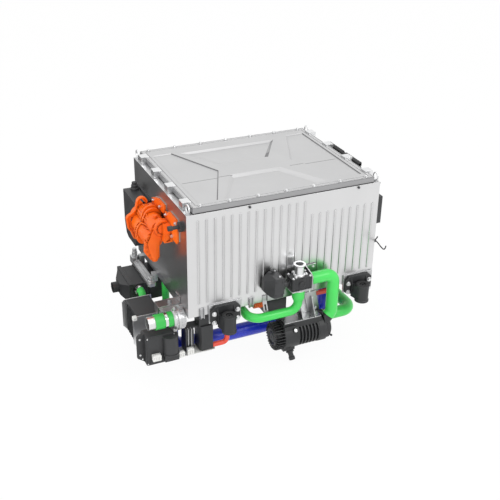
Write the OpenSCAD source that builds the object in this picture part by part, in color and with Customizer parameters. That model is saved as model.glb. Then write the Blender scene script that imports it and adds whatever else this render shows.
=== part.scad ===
/* [Enclosure] */
// Length of the enclosure from side to side
enclosure_l = 1000; // [960:5:1060]
// Depth of the enclosure from front to back
enclosure_d = 753; // [730:1:800]
// Height of the enclosure to its rim
enclosure_h = 531; // [515:1:570]
// Thickness of the enclosure's walls
wall_t = 5; // [4:0.5:8]
// Thickness of the enclosure's floor
floor_t = 8; // [6:0.5:12]
// Width of the ledge that carries the lid
ledge_w = 62; // [56:1:80]
// Thickness of the ledge
ledge_t = 12; // [8:0.5:16]

/* [Beads on the long walls] */
// Number of upright beads on each long wall
bead_count = 23; // [15:1:23]
// Number of short beads at the right end of the row
short_bead_count = 9; // [3:1:12]
// Distance from bead to bead
bead_pitch = 41.4; // [38:0.1:42]
// Distance of the first bead from the left wall
bead_margin = 54; // [40:1:60]
// Width of a bead
bead_w = 9; // [6:0.5:14]
// How far a bead stands out of its wall
bead_h = 4; // [2:0.5:6]
// Height of a bead's lower end above the floor
bead_foot = 68; // [50:1:90]
// Distance from a long bead's upper end to the rim
long_bead_gap = 33; // [25:1:60]
// Distance from a short bead's upper end to the rim
short_bead_gap = 106; // [90:1:140]

/* [Lid] */
// Distance of the lid's ends from the enclosure's side walls
lid_inset_x = 33; // [32:1:40]
// Distance of the lid's long edges from the long walls
lid_inset_y = 5; // [3:1:10]
// Height of the lid's edge
lid_h = 27; // [22:1:36]
// Thickness of the lid's sheet
lid_sheet = 4; // [3:0.5:6]
// Width of the lid's solid edge
lid_edge_w = 26; // [22:1:32]
// Depth of the pressed panels in the lid
pan_depth = 9; // [5:0.5:12]
// Thickness of the lid gasket
gasket_t = 3; // [2:0.5:5]
// Bolts along each long edge of the lid
lid_bolt_count = 7; // [5:1:9]
// Clamps along each short edge of the lid
lid_clamp_count = 4; // [2:1:5]

/* [Isolator mounts] */
// Distance between mount centres along the enclosure
mount_pitch_x = 730; // [700:5:780]
// Centre of the mounts, to the right of the enclosure's centre
mount_shift_x = 48; // [0:1:50]
// Distance of the isolator's axis from the long wall
isolator_reach = 59.5; // [56:0.5:70]
// Outer diameter of the isolator's housing
isolator_d = 66; // [60:1:72]
// Diameter of the rubber bushing
bushing_d = 54; // [46:1:56]
// Outer diameter of the steel sleeve
sleeve_d = 22; // [18:1:26]
// Diameter of the hole for the mounting bolt
mount_hole_d = 13; // [11:0.5:14]
// How far the sleeve's lower end lies below the enclosure
mount_drop = 84; // [80:1:100]
// Thickness of the steel support plate
support_t = 8; // [5:0.5:10]
// Thickness of the bracket's plate
bracket_t = 12; // [8:0.5:16]

/* [Hydrogen pump] */
// Distance between the two rotor shafts
rotor_pitch = 58; // [54:1:60]
// Tilt of the line through both shafts
rotor_tilt = 58; // [50:0.5:65]
// Lobes on each rotor
rotor_lobes = 3; // [2:1:4]
// Length of the rotors
rotor_l = 92; // [70:1:100]
// Diameter of a rotor shaft
rotor_shaft_d = 20; // [14:1:24]
// Running gap between rotors and casing
rotor_gap = 0.6; // [0.4:0.1:1]

/* [Compressor] */
// Diameter over the compressor's fins
compressor_d = 144; // [138:1:150]
// Length of the compressor's motor housing
compressor_l = 270; // [250:5:285]
// Diameter of the compressor's shaft
compressor_shaft_d = 24; // [18:1:30]

/* [Hoses and pipes] */
// Outer diameter of the air hoses
air_hose_d = 61; // [56:1:64]
// Outer diameter of the long coolant hose
coolant_hose_d = 44; // [40:1:46]
// Outer diameter of the hose at the filter
filter_hose_d = 38; // [34:1:40]
// Outer diameter of the large coolant port
coolant_port_d = 64; // [60:1:68]
// Outer diameter of the large pipe under the floor
main_pipe_d = 75; // [68:1:76]
// Outer diameter of the small pipes under the floor
small_pipe_d = 26; // [20:1:28]
// Wall of the rubber hoses
hose_wall = 5; // [3:0.5:6]
// Wall of the metal pipes
pipe_wall = 2; // [1.5:0.5:3]

/* [Hidden] */
$fn = 48;
fit_gap = 0.3;
run_gap = 0.05;
bite = 1;
left_x = -enclosure_l / 2;
right_x = enclosure_l / 2;
front_y = -enclosure_d / 2;
back_y = enclosure_d / 2;
rim_z = enclosure_h;

silver = "#D6D8DA";
dark = "#404246";
orange = "#F86A1C";
green = "#49DC62";
steel = "#B9BCBF";

// Everything is drawn from the centre of the enclosure's underside, then moved so
// that the origin is the centre of the four isolator holes at their lower ends.
module placed() {
    translate([-mount_shift_x, 0, mount_drop])
        children();
}

module block(a, b) {
    translate(a)
        cube(b - a);
}

module rod_x(r, x0, x1, y, z) {
    translate([x0, y, z])
        rotate([0, 90, 0])
            cylinder(r = r, h = x1 - x0);
}

module rod_y(r, y0, y1, x, z) {
    translate([x, y1, z])
        rotate([90, 0, 0])
            cylinder(r = r, h = y1 - y0);
}

module rod_z(r, z0, z1, x, y) {
    translate([x, y, z0])
        cylinder(r = r, h = z1 - z0);
}

// Rectangle with round corners, centred
module round_rect(w, h, r) {
    square([w - 2 * r, h], center = true);
    square([w, h - 2 * r], center = true);
    for (sx = [-1, 1], sy = [-1, 1])
        translate([sx * (w / 2 - r), sy * (h / 2 - r)])
            circle(r = r);
}

// Plate in the XZ plane from y0 to y1, drawn from a flat outline
module plate_xz(y0, y1) {
    translate([0, y1, 0])
        rotate([90, 0, 0])
            linear_extrude(y1 - y0)
                children();
}

module ring(r_out, r_in) {
    difference() {
        circle(r = r_out);
        if (r_in > 0)
            circle(r = r_in);
    }
}

function unit(v) = v / norm(v);
function bend_angle(a, b, c) = acos(unit(b - a) * unit(c - b));
function bend_start(a, b, c, r) = r * tan(bend_angle(a, b, c) / 2);
function bend_side(a, b, c) = unit(unit(c - b) - unit(b - a) * (unit(b - a) * unit(c - b)));
function any_side(u) = unit(cross(u, abs(u.z) < 0.9 ? [0, 0, 1] : [1, 0, 0]));

// Puts children at a point, with their X along side and their Z along dir
module facing(origin, side, dir) {
    third = cross(dir, side);
    multmatrix([
        [side.x, third.x, dir.x, origin.x],
        [side.y, third.y, dir.y, origin.y],
        [side.z, third.z, dir.z, origin.z]])
        children();
}

// One bent piece of tube round the corner b
module elbow(a, b, c, r, r_out, r_in) {
    u = unit(b - a);
    side = bend_side(a, b, c);
    centre = b - u * bend_start(a, b, c, r) + side * r;
    facing(centre, -side, cross(-side, u))
        rotate_extrude(angle = bend_angle(a, b, c))
            translate([r, 0])
                ring(r_out, r_in);
}

// Tube through the points p, with one bend radius for each inner point
module tube_run(p, radii, r_out, r_in) {
    last = len(p) - 2;
    for (i = [0 : last]) {
        u = unit(p[i + 1] - p[i]);
        t0 = i > 0 ? bend_start(p[i - 1], p[i], p[i + 1], radii[i - 1]) : 0;
        t1 = i < last ? bend_start(p[i], p[i + 1], p[i + 2], radii[i]) : 0;
        side = i < last ? bend_side(p[i], p[i + 1], p[i + 2])
            : i > 0 ? bend_side(p[i + 1], p[i], p[i - 1]) : any_side(u);
        facing(p[i] + u * t0, -side, u)
            linear_extrude(norm(p[i + 1] - p[i]) - t0 - t1)
                ring(r_out, r_in);
    }
    if (last > 0)
        for (i = [1 : last])
            elbow(p[i - 1], p[i], p[i + 1], radii[i - 1], r_out, r_in);
}

// Straight round stub from a point along a direction
module stub(origin, dir, l, r_out, r_in) {
    facing(origin, any_side(unit(dir)), unit(dir))
        linear_extrude(l)
            ring(r_out, r_in);
}

// Hexagon flange bolt with its washer face at z = 0 and its shank below
module flange_bolt(d, shank_l) {
    cylinder(d = 2.4 * d, h = 0.3 * d);
    cylinder(d = 1.75 * d, h = 1.05 * d, $fn = 6);
    translate([0, 0, -shank_l])
        cylinder(d = d, h = shank_l + bite);
}

// Band clamp round a hose end
module band(origin, dir, r) {
    stub(origin - unit(dir) * 7, dir, 14, r + 2, r + 0.1);
}

/* Enclosure */

// Beads that fit between the side walls
beads_placed = min(bead_count, floor((enclosure_l - bead_margin - bead_w) / bead_pitch) + 1);

module beads() {
    for (i = [0 : beads_placed - 1]) {
        x = left_x + bead_margin + i * bead_pitch;
        top = rim_z - (i >= beads_placed - short_bead_count ? short_bead_gap : long_bead_gap);
        translate([x, front_y, bead_foot])
            linear_extrude(top - bead_foot)
                polygon([[-bead_w / 2, bite], [-bead_w / 2, 0], [-bead_w / 5, -bead_h],
                    [bead_w / 5, -bead_h], [bead_w / 2, 0], [bead_w / 2, bite]]);
    }
}

lid_x = enclosure_l / 2 - lid_inset_x;
lid_y = enclosure_d / 2 - lid_inset_y;
lid_z0 = rim_z + gasket_t;
lid_z1 = lid_z0 + lid_h;
lid_bolt_y = lid_y - 12;
lid_bolt_x = lid_x - 40;
clamp_pitch = (2 * lid_y - 160) / (lid_clamp_count - 1);
eye_inset = [15, 20];
eye_shank_d = 10;
lid_bolt_d = 8;

module at_lid_bolts() {
    for (i = [0 : lid_bolt_count - 1], s = [-1, 1])
        translate([-lid_bolt_x + i * 2 * lid_bolt_x / (lid_bolt_count - 1), s * lid_bolt_y, 0])
            children();
}

module at_lid_clamps() {
    for (i = [0 : lid_clamp_count - 1], s = [0, 1])
        mirror([s, 0, 0])
            translate([-lid_x, (i - (lid_clamp_count - 1) / 2) * clamp_pitch, 0])
                children();
}

module at_eyes() {
    for (sx = [-1, 1], sy = [-1, 1])
        translate([sx * (enclosure_l / 2 - eye_inset.x), sy * (enclosure_d / 2 - eye_inset.y), rim_z])
            children();
}

module enclosure_tub() {
    color(silver)
        placed()
            difference() {
                union() {
                    block([left_x, front_y, 0], [right_x, back_y, rim_z]);
                    beads();
                    mirror([0, 1, 0])
                        beads();
                }
                block([left_x + wall_t, front_y + wall_t, floor_t],
                    [right_x - wall_t, back_y - wall_t, rim_z - ledge_t]);
                block([left_x + ledge_w, front_y + ledge_w, rim_z - ledge_t - bite],
                    [right_x - ledge_w, back_y - ledge_w, rim_z + bite]);
                translate([0, 0, rim_z - ledge_t - bite])
                    at_lid_bolts()
                        cylinder(d = lid_bolt_d + 2 * fit_gap, h = ledge_t + 2 * bite);
                at_eyes()
                    translate([0, 0, -ledge_t - bite])
                        cylinder(d = eye_shank_d + 2 * fit_gap, h = ledge_t + 2 * bite);
            }
}

module lid_gasket() {
    color(dark)
        placed()
            translate([0, 0, rim_z])
                difference() {
                    linear_extrude(gasket_t)
                        difference() {
                            square([2 * lid_x, 2 * lid_y], center = true);
                            square([2 * (lid_x - lid_edge_w), 2 * (lid_y - lid_edge_w)], center = true);
                        }
                    translate([0, 0, -bite])
                        at_lid_bolts()
                            cylinder(d = lid_bolt_d + 2 * fit_gap, h = gasket_t + 2 * bite);
                }
}

corners = [[-1, -1], [1, -1], [1, 1], [-1, 1]];

// Tapered block between two outlines with the same number of points
module pan(top, low, z1, z0) {
    n = len(top);
    polyhedron(
        points = concat([for (q = low) [q.x, q.y, z0]], [for (q = top) [q.x, q.y, z1]]),
        faces = concat([[for (i = [0 : n - 1]) i]], [[for (i = [0 : n - 1]) 2 * n - 1 - i]],
            [for (i = [0 : n - 1]) [(i + 1) % n, i, n + i, n + (i + 1) % n]]));
}

pan_mid_y = -15;
pan_mid_x = -30;
pan_wide = 270;
pan_narrow = 136;
pan_near = 68;
pan_far = 315;
pan_slope = 26;
side_pan_depth = 4;

// Front and back pans, the back one turned half round
module centre_pans(grow, drop) {
    for (s = [0, 1])
        translate([pan_mid_x, pan_mid_y, 0])
            rotate([0, 0, 180 * s])
                pan([[-pan_wide - grow, -pan_far - grow + (s == 1 ? 2 * pan_mid_y : 0) * -1],
                        [pan_wide + grow, -pan_far - grow + (s == 1 ? 2 * pan_mid_y : 0) * -1],
                        [pan_narrow + grow, -pan_near + grow], [-pan_narrow - grow, -pan_near + grow]],
                    [[-pan_wide + pan_slope - grow,
                        -pan_far + pan_slope / 2 - grow + (s == 1 ? 2 * pan_mid_y : 0) * -1],
                        [pan_wide - 2 * pan_slope + grow,
                            -pan_far + pan_slope / 2 - grow + (s == 1 ? 2 * pan_mid_y : 0) * -1],
                        [pan_narrow - pan_slope + grow, -pan_near - pan_slope + grow],
                        [-pan_narrow + pan_slope / 3 - grow, -pan_near - pan_slope + grow]],
                    lid_z1 + bite, lid_z1 - pan_depth - drop);
}

// Left and right pans
module side_pans(grow, drop) {
    edge_x = lid_x - lid_edge_w - 12;
    for (s = [0, 1])
        translate([pan_mid_x * (1 - 2 * s), pan_mid_y, 0])
            rotate([0, 0, 180 * s])
                pan([[-edge_x - pan_mid_x - grow + s * 0, -pan_far - grow],
                    [-pan_wide - 28 + grow, -pan_far - grow],
                        [-pan_narrow - 28 + grow, 0], [-pan_wide - 28 + grow, pan_far - 14 + grow],
                        [-edge_x - pan_mid_x - grow, pan_far - 14 + grow]],
                    [[-edge_x - pan_mid_x + 5 - grow, -pan_far + 5 - grow],
                        [-pan_wide - 33 + grow, -pan_far + 5 - grow],
                        [-pan_narrow - 33 + grow, 0], [-pan_wide - 33 + grow, pan_far - 19 + grow],
                        [-edge_x - pan_mid_x + 5 - grow, pan_far - 19 + grow]],
                    lid_z1 + bite, lid_z1 - side_pan_depth - drop);
}

// Fine groove round the lid, at a distance from its edge
module lid_groove(inset) {
    translate([0, 0, lid_z1 - 1.5])
        linear_extrude(1.5 + bite)
            difference() {
                square([2 * (lid_x - inset), 2 * (lid_y - inset)], center = true);
                square([2 * (lid_x - inset - 2), 2 * (lid_y - inset - 2)], center = true);
            }
}

module enclosure_lid() {
    color(silver)
        placed()
            difference() {
                block([-lid_x, -lid_y, lid_z0], [lid_x, lid_y, lid_z1]);
                difference() {
                    block([-lid_x + lid_edge_w, -lid_y + lid_edge_w, lid_z0 - bite],
                        [lid_x - lid_edge_w, lid_y - lid_edge_w, lid_z1 - lid_sheet]);
                    centre_pans(lid_sheet, lid_sheet);
                    side_pans(lid_sheet, lid_sheet);
                }
                centre_pans(0, 0);
                side_pans(0, 0);
                lid_groove(3);
                lid_groove(21);
                translate([0, 0, lid_z0 - bite])
                    at_lid_bolts()
                        cylinder(d = lid_bolt_d + 2 * fit_gap, h = lid_h + 2 * bite);
            }
}

module lid_bolts() {
    color("#F2F2F2")
        placed()
            translate([0, 0, lid_z1])
                at_lid_bolts()
                    flange_bolt(lid_bolt_d, lid_h + gasket_t + ledge_t);
}

clamp_w = 46;
clamp_t = 6;
module lid_clamps() {
    color("#EDEEEF")
        placed()
            at_lid_clamps() {
                block([-lid_inset_x + 6, -clamp_w / 2, rim_z], [0, clamp_w / 2, lid_z1 + clamp_t]);
                block([-bite, -clamp_w / 2, lid_z1], [14, clamp_w / 2, lid_z1 + clamp_t]);
            }
}

eye_r = 19;
eye_wire = 4;
module lifting_eyes() {
    color(steel)
        placed()
            at_eyes() {
                cylinder(r = 11, h = 5);
                translate([0, 0, 5 + eye_r])
                    rotate([0, 90, 0])
                        rotate_extrude()
                            translate([eye_r, 0])
                                circle(r = eye_wire);
                translate([0, 0, 4])
                    cylinder(r = 6, h = 4);
                translate([0, 0, -ledge_t])
                    cylinder(d = eye_shank_d, h = ledge_t + bite);
            }
}

/* Fuel cell stack and electronics inside */

cell_w = 420;
cell_h = 190;
cell_z = 40;
pack_l = 560;
collector_t = 4;
end_plate_t = 30;
stack_x = -20;
rod_r = 6;

module cell_pack() {
    cells = 28;
    step = pack_l / cells;
    color("#55585C")
        placed() {
            block([stack_x - pack_l / 2, -cell_w / 2 + 2, cell_z + 2],
                [stack_x + pack_l / 2, cell_w / 2 - 2, cell_z + cell_h - 2]);
            for (i = [0 : cells - 1])
                block([stack_x - pack_l / 2 + i * step + step / 4, -cell_w / 2, cell_z],
                    [stack_x - pack_l / 2 + i * step + 3 * step / 4, cell_w / 2, cell_z + cell_h]);
        }
}

module at_tie_rods() {
    for (sy = [-1, 1], z = [cell_z + 30, cell_z + cell_h / 2, cell_z + cell_h - 30])
        translate([stack_x, sy * (cell_w / 2 + rod_r + 4), z])
            children();
}

module stack_end_plates() {
    inner = pack_l / 2 + collector_t;
    color(steel)
        placed()
            for (s = [-1, 1])
                difference() {
                    block([stack_x + (s < 0 ? -inner - end_plate_t : inner), -cell_w / 2 - 24, floor_t],
                        [stack_x + (s < 0 ? -inner : inner + end_plate_t), cell_w / 2 + 24,
                            cell_z + cell_h + 10]);
                    at_tie_rods()
                        rod_x(rod_r + fit_gap, -pack_l, pack_l, 0, 0);
                }
}

module stack_tie_rods() {
    half = pack_l / 2 + collector_t + end_plate_t;
    color("#C9CBCD")
        placed()
            at_tie_rods() {
                rod_x(rod_r, -half - 12, half + 12, 0, 0);
                rod_x(2 * rod_r, -half - 8, -half, 0, 0, $fn = 6);
                rod_x(2 * rod_r, half, half + 8, 0, 0, $fn = 6);
            }
}

converter_z = 300;
module current_collectors() {
    color("#C87A4A")
        placed()
            for (s = [0, 1])
                translate([stack_x, 0, 0])
                    mirror([s, 0, 0]) {
                        block([pack_l / 2, -cell_w / 2 + 10, cell_z + 4],
                            [pack_l / 2 + collector_t, cell_w / 2 - 10, cell_z + cell_h]);
                        block([pack_l / 2, -40, cell_z + cell_h - bite],
                            [pack_l / 2 + collector_t, 40, converter_z]);
                    }
}

module cell_monitor() {
    color("#2F6B3C")
        placed()
            block([stack_x - 230, -60, cell_z + cell_h], [stack_x + 230, 60, cell_z + cell_h + 18]);
}

converter_fins = 10;
converter_fin_t = 8;
module voltage_converter() {
    half_l = pack_l / 2 + 30;
    half_w = cell_w / 2 + 60;
    first = -half_w + 75;
    step = (2 * half_w - 150 - converter_fin_t) / (converter_fins - 1);
    color(steel)
        placed()
            translate([stack_x, 0, 0]) {
                block([-half_l, -half_w, converter_z], [half_l, half_w, converter_z + 8]);
                block([-half_l + 30, -half_w + 60, converter_z + 8 - bite],
                    [half_l - 30, half_w - 60, converter_z + 110]);
                for (i = [0 : converter_fins - 1])
                    block([-half_l + 60, first + i * step, converter_z + 110 - bite],
                        [half_l - 60, first + i * step + converter_fin_t, converter_z + 130]);
                for (sx = [-1, 1], sy = [-1, 1])
                    rod_z(10, floor_t, converter_z + bite, sx * (half_l - 80), sy * (half_w - 14));
            }
}

/* Isolator mounts */

mount_hole_dx = 60;
mount_bolt_hi = 6;
mount_bolt_lo = -42;
mount_bolt_d = 10;
mount_plate_w = 150;
mount_plate_top = 42;
mount_plate_low = -56;
isolator_top = 11;

module at_mounts() {
    for (sx = [-1, 1], s = [0, 1])
        mirror([0, s, 0])
            translate([mount_shift_x + sx * mount_pitch_x / 2, front_y, 0])
                children();
}

module at_mount_bolts() {
    for (sx = [-1, 1], z = [mount_bolt_lo, mount_bolt_hi])
        translate([sx * mount_hole_dx, 0, z])
            rotate([90, 0, 0])
                children();
}

module mount_outline() {
    w = mount_plate_w / 2;
    polygon([[-w, mount_plate_low + 12], [-w + 12, mount_plate_low], [w - 12, mount_plate_low],
        [w, mount_plate_low + 12], [w, mount_plate_top - 20], [w - 20, mount_plate_top],
        [-w + 20, mount_plate_top], [-w, mount_plate_top - 20]]);
}

module isolator_plates() {
    color(silver)
        placed()
            at_mounts()
                difference() {
                    union() {
                        plate_xz(-support_t, 0)
                            square([mount_plate_w + 16, 2 * -mount_plate_low - 14], center = true);
                        block([-mount_plate_w / 2 - 8, -bite, -support_t], [mount_plate_w / 2 + 8, 30, 0]);
                    }
                    at_mount_bolts()
                        translate([0, 0, -bite])
                            cylinder(d = mount_bolt_d + 2 * fit_gap, h = support_t + 2 * bite);
                }
}

// Cast bracket: plate, tapered neck and a round housing with a raised lip
module isolator_brackets() {
    r = isolator_d / 2;
    bore = bushing_d / 2 + fit_gap;
    low = -mount_drop + 2;
    plate_y = -support_t - bracket_t;
    color(dark)
        placed()
            at_mounts()
                difference() {
                    union() {
                        plate_xz(plate_y, -support_t)
                            mount_outline();
                        translate([0, 0, mount_plate_low - 14])
                            linear_extrude(-mount_plate_low + 16)
                                polygon([[-42, plate_y + bite], [42, plate_y + bite], [r, -isolator_reach],
                                    [-r, -isolator_reach]]);
                        for (sx = [-1, 1])
                            plate_yz(sx * 43 - 2.5, sx * 43 + 2.5)
                                polygon([[plate_y + bite, mount_plate_low + 8],
                                    [plate_y + bite, mount_plate_top - 6],
                                    [plate_y - 12, 2], [plate_y - 12, mount_plate_low + 16]]);
                        translate([0, -isolator_reach, 0])
                            rotate_extrude()
                                polygon([[bore - 2, low], [r + 3, low], [r + 3, low + 8], [r, low + 11],
                                    [r, isolator_top - 8], [r + 2.5, isolator_top - 6],
                                        [r + 2.5, isolator_top - 2],
                                    [r, isolator_top], [bore - 2, isolator_top]]);
                    }
                    rod_z(bore, -mount_drop, isolator_top + bite, 0, -isolator_reach);
                    at_mount_bolts()
                        translate([0, 0, support_t - bite])
                            cylinder(d = mount_bolt_d + 2 * fit_gap, h = bracket_t + 2 * bite);
                }
}

// Rubber bushing with a dished top between its outer lip and the sleeve
module isolator_bushings() {
    low = -mount_drop + 3;
    top = isolator_top - 3;
    r_in = sleeve_d / 2 + fit_gap;
    r_out = bushing_d / 2;
    color("#1C1C1E")
        placed()
            at_mounts()
                translate([0, -isolator_reach, 0])
                    rotate_extrude()
                        polygon([[r_in, low], [r_out, low], [r_out, top], [r_out - 3, top],
                            [r_out - 6, top - 11],
                            [r_in + 5, top - 11], [r_in + 2, top - 3], [r_in, top - 3]]);
}

module isolator_sleeves() {
    top = isolator_top - 5;
    color("#6E7074")
        placed()
            at_mounts()
                translate([0, -isolator_reach, 0])
                    difference() {
                        rod_z(sleeve_d / 2, -mount_drop, top + 3, 0, 0);
                        rod_z(mount_hole_d / 2, -mount_drop - bite, top + 4, 0, 0);
                    }
}

module isolator_bolts() {
    color("#F2F2F2")
        placed()
            at_mounts()
                at_mount_bolts()
                    translate([0, 0, support_t + bracket_t])
                        flange_bolt(mount_bolt_d, support_t + bracket_t);
}

/* Hydrogen recirculation pump on the left wall, shafts along Y */

pump_reach = 49.5;
pump_z = 372;
seam_y = front_y + 354.5;
chamber_y0 = seam_y - rotor_l - 6;
front_face_y = chamber_y0 - 32;
boss_face_y = front_face_y - 30;
back_plate_y = seam_y + 84;
motor_end_y = seam_y + 118;
rotor_r = rotor_pitch / 2;
lobe_r = rotor_r / (2 * rotor_lobes);
chamber_r = rotor_r + 2 * lobe_r + rotor_gap;
housing_r = chamber_r + 5;
flange_r = housing_r + 5.5;
seam_half = 11;
flange_t = 11;
drive_axis = [left_x - pump_reach, pump_z];
driven_axis = drive_axis - rotor_pitch * [cos(rotor_tilt), sin(rotor_tilt)];
bearing_r = rotor_shaft_d / 2 + run_gap;
boss_axis = drive_axis + [6.5, 16];
boss_r = 39;
leg_x = driven_axis.x + 3;
leg_z = driven_axis.y - 112;

// Cycloid lobe profile: outer arcs roll outside the pitch circle, inner arcs inside
function lobe_point(a, r, b) =
    (floor(a * rotor_lobes / 180) % 2 == 0)
        ? [(r + b) * cos(a) - b * cos((r + b) / b * a), (r + b) * sin(a) - b * sin((r + b) / b * a)]
        : [(r - b) * cos(a) + b * cos((r - b) / b * a), (r - b) * sin(a) - b * sin((r - b) / b * a)];

module lobe_profile() {
    steps = 16 * rotor_lobes;
    k = 1 - rotor_gap / rotor_r / 2;
    rotate([0, 0, -90 / rotor_lobes])
        polygon([for (i = [0 : steps - 1]) k * lobe_point(i * 360 / steps, rotor_r, lobe_r)]);
}

module rotor(axis, turn) {
    translate([axis.x, 0, axis.y]) {
        plate_xz(chamber_y0 + 1, chamber_y0 + 1 + rotor_l)
            rotate([0, 0, turn])
                lobe_profile();
        rod_y(rotor_shaft_d / 2, front_face_y + 12, seam_y + 40, 0, 0);
    }
}

module pump_drive_rotor() {
    color("#C6C8CA")
        placed()
            rotor(drive_axis, rotor_tilt + 180);
}

module pump_driven_rotor() {
    color("#C6C8CA")
        placed()
            rotor(driven_axis, rotor_tilt + 180 / rotor_lobes);
}

// Round discs of radius r at the points p, seen along Y
module discs(p, r) {
    for (q = p)
        translate(q)
            circle(r = r);
}

// Discs over both chambers with the bar between them
module two_lobe_outline(r) {
    discs([drive_axis, driven_axis], r);
    translate((drive_axis + driven_axis) / 2)
        rotate([0, 0, rotor_tilt])
            square([rotor_pitch, 1.4 * r], center = true);
}

// Flange at the seam, with a third lobe over the outlet
module seam_flange_outline(rise) {
    two_lobe_outline(flange_r);
    discs([boss_axis + [-3, rise]], flange_r - 4);
    translate(driven_axis + [-18, -36])
        circle(r = 30);
}

// Slot with round ends from a to b
module slot(a, b, r) {
    discs([a, b], r);
    translate((a + b) / 2)
        rotate([0, 0, atan2(b.y - a.y, b.x - a.x)])
            square([norm(b - a), 1.96 * r], center = true);
}

// Plate with the two slotted ears and the foot behind the motor
module back_plate_outline(inset) {
    middle = driven_axis + [5, 46];
    hull()
        discs([middle, drive_axis + [-13.5, 52]], 27 - inset);
    hull()
        discs([middle, driven_axis + [-41, 21], driven_axis + [-36, -22]], 24 - inset);
    hull()
        discs([middle + [8, -30], driven_axis + [-36, -22], driven_axis + [-19, -74]], 18 - inset);
    translate(middle + [6, -20])
        circle(r = housing_r + 6 - inset);
}

// Thin triangular rib between three points
module web(a, b, c) {
    hull()
        for (q = [a, b, c])
            translate(q)
                sphere(r = 2.2, $fn = 8);
}

// Ribs that fan out from a point to the edge of a flange
module rib_fan(tip, root, edge_y) {
    for (q = [[-9, 44], [-25, 28], [-38, 6], [-47, -20]])
        web(tip, [drive_axis.x - 20 + q.x, edge_y, drive_axis.y - 5 + q.y], root);
}

// Everything behind the wall's plane, the bolt holes and the room for the bolt heads
module pump_wall_cut() {
    block([left_x - pump_gasket_t, seam_y - 280, pump_z - 190], [left_x + 60, seam_y + 220, pump_z + 130]);
    for (b = foot_bolts) {
        rod_x(4.3, left_x - 30, left_x + bite, b.x, b.y);
        rod_x(11, left_x - 60, left_x - pump_foot_t, b.x, b.y);
    }
}

pump_foot_t = 12;
pump_gasket_t = 3;
foot_bolts = [[seam_y - 192, 360], [seam_y - 114, 434], [seam_y - 246, 448], [seam_y - 31, 440],
    [seam_y + 65, 434], [seam_y + 67, 346]];

// Outlines of the two feet on the wall, seen along X
module front_foot_outline() {
    polygon([[seam_y - 264, 362], [seam_y - 264, 454], [seam_y - 248, 470], [seam_y - 158, 470],
        [seam_y - 128, 448], [seam_y - 100, 448], [seam_y - 100, 420], [seam_y - 126, 398],
        [seam_y - 176, 346], [seam_y - 250, 346]]);
}

module back_foot_outline() {
    polygon([[seam_y + 88, 332], [seam_y + 88, 440], [seam_y + 56, 454], [seam_y - 6, 474],
        [seam_y - 93, 474], [seam_y - 93, 444], [seam_y - 72, 424], [seam_y, 424], [seam_y, 332]]);
}

module pump_front_housing() {
    color(orange)
        placed()
            difference() {
                union() {
                    plate_xz(front_face_y, seam_y)
                        two_lobe_outline(housing_r);
                    plate_xz(seam_y - seam_half - flange_t, seam_y - seam_half)
                        seam_flange_outline(0);
                    for (a = [60 : 30 : 210])
                        rod_y(4.5, seam_y - seam_half - bite, seam_y, driven_axis.x + (housing_r + 1) * cos(a),
                            driven_axis.y + (housing_r + 1) * sin(a));
                    translate([boss_axis.x, front_face_y, boss_axis.y])
                        rotate([90, 0, 0])
                            rotate_extrude()
                                polygon([[0, -20], [boss_r - 5, -20], [boss_r - 5, 6], [boss_r, 12],
                                    [boss_r, 24],
                                    [boss_r - 3, 27], [boss_r - 11, 27], [boss_r - 12, 23], [boss_r - 14, 23],
                                    [boss_r - 15, 30], [0, 30]]);
                    hull() {
                        rod_y(28, front_face_y - 14, chamber_y0 + 4, driven_axis.x - 5, driven_axis.y - 8);
                        rod_z(25, leg_z + 22, driven_axis.y - 20, leg_x, front_face_y + 8);
                        rod_z(14, leg_z, leg_z + 2, leg_x, front_face_y + 8);
                    }
                    hull() {
                        rod_y(25, front_face_y - 14, front_face_y - 2, driven_axis.x - 6, driven_axis.y - 4);
                        rod_y(30, front_face_y - 14, front_face_y - 2, boss_axis.x, boss_axis.y);
                    }
                    hull() {
                        rod_y(10, front_face_y - 6, front_face_y + 8, driven_axis.x - 36, driven_axis.y - 4);
                        rod_y(10, front_face_y - 6, front_face_y + 8, driven_axis.x - 40, driven_axis.y - 52);
                        rod_y(8, front_face_y - 6, front_face_y + 8, driven_axis.x - 16, driven_axis.y - 92);
                        rod_y(12, front_face_y - 6, front_face_y + 8, driven_axis.x, driven_axis.y - 20);
                    }
                    rod_y(17, front_face_y - 9, front_face_y + bite, driven_axis.x - 24, driven_axis.y + 15);
                    rod_z(11, drive_axis.y, drive_axis.y + housing_r + 12, drive_axis.x - 6, chamber_y0 + 14);
                    rib_fan([boss_axis.x - boss_r + 2, front_face_y - 14, boss_axis.y - 2],
                        [drive_axis.x - 14, seam_y - seam_half - 20, drive_axis.y - 10],
                            seam_y - seam_half - 12);
                    plate_yz(left_x - pump_foot_t, left_x)
                        front_foot_outline();
                    difference() {
                        block([left_x - 46, seam_y - 182, 324], [left_x - 4, seam_y - 106, 416]);
                        plate_xz(seam_y - 183, seam_y - 176)
                            polygon([[left_x - 38, 330], [left_x - 16, 330], [left_x - 16, 352]]);
                    }
                }
                plate_xz(chamber_y0, seam_y + bite)
                    discs([drive_axis, driven_axis], chamber_r);
                for (p = [drive_axis, driven_axis])
                    rod_y(bearing_r, front_face_y + 10, chamber_y0 + bite, p.x, p.y);
                rod_y(12, front_face_y - 10, front_face_y - 6, driven_axis.x - 24, driven_axis.y + 15);
                rod_y(4, boss_face_y - bite, boss_face_y + 12, boss_axis.x + 16, boss_axis.y - 29);
                pump_wall_cut();
            }
}

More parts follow.
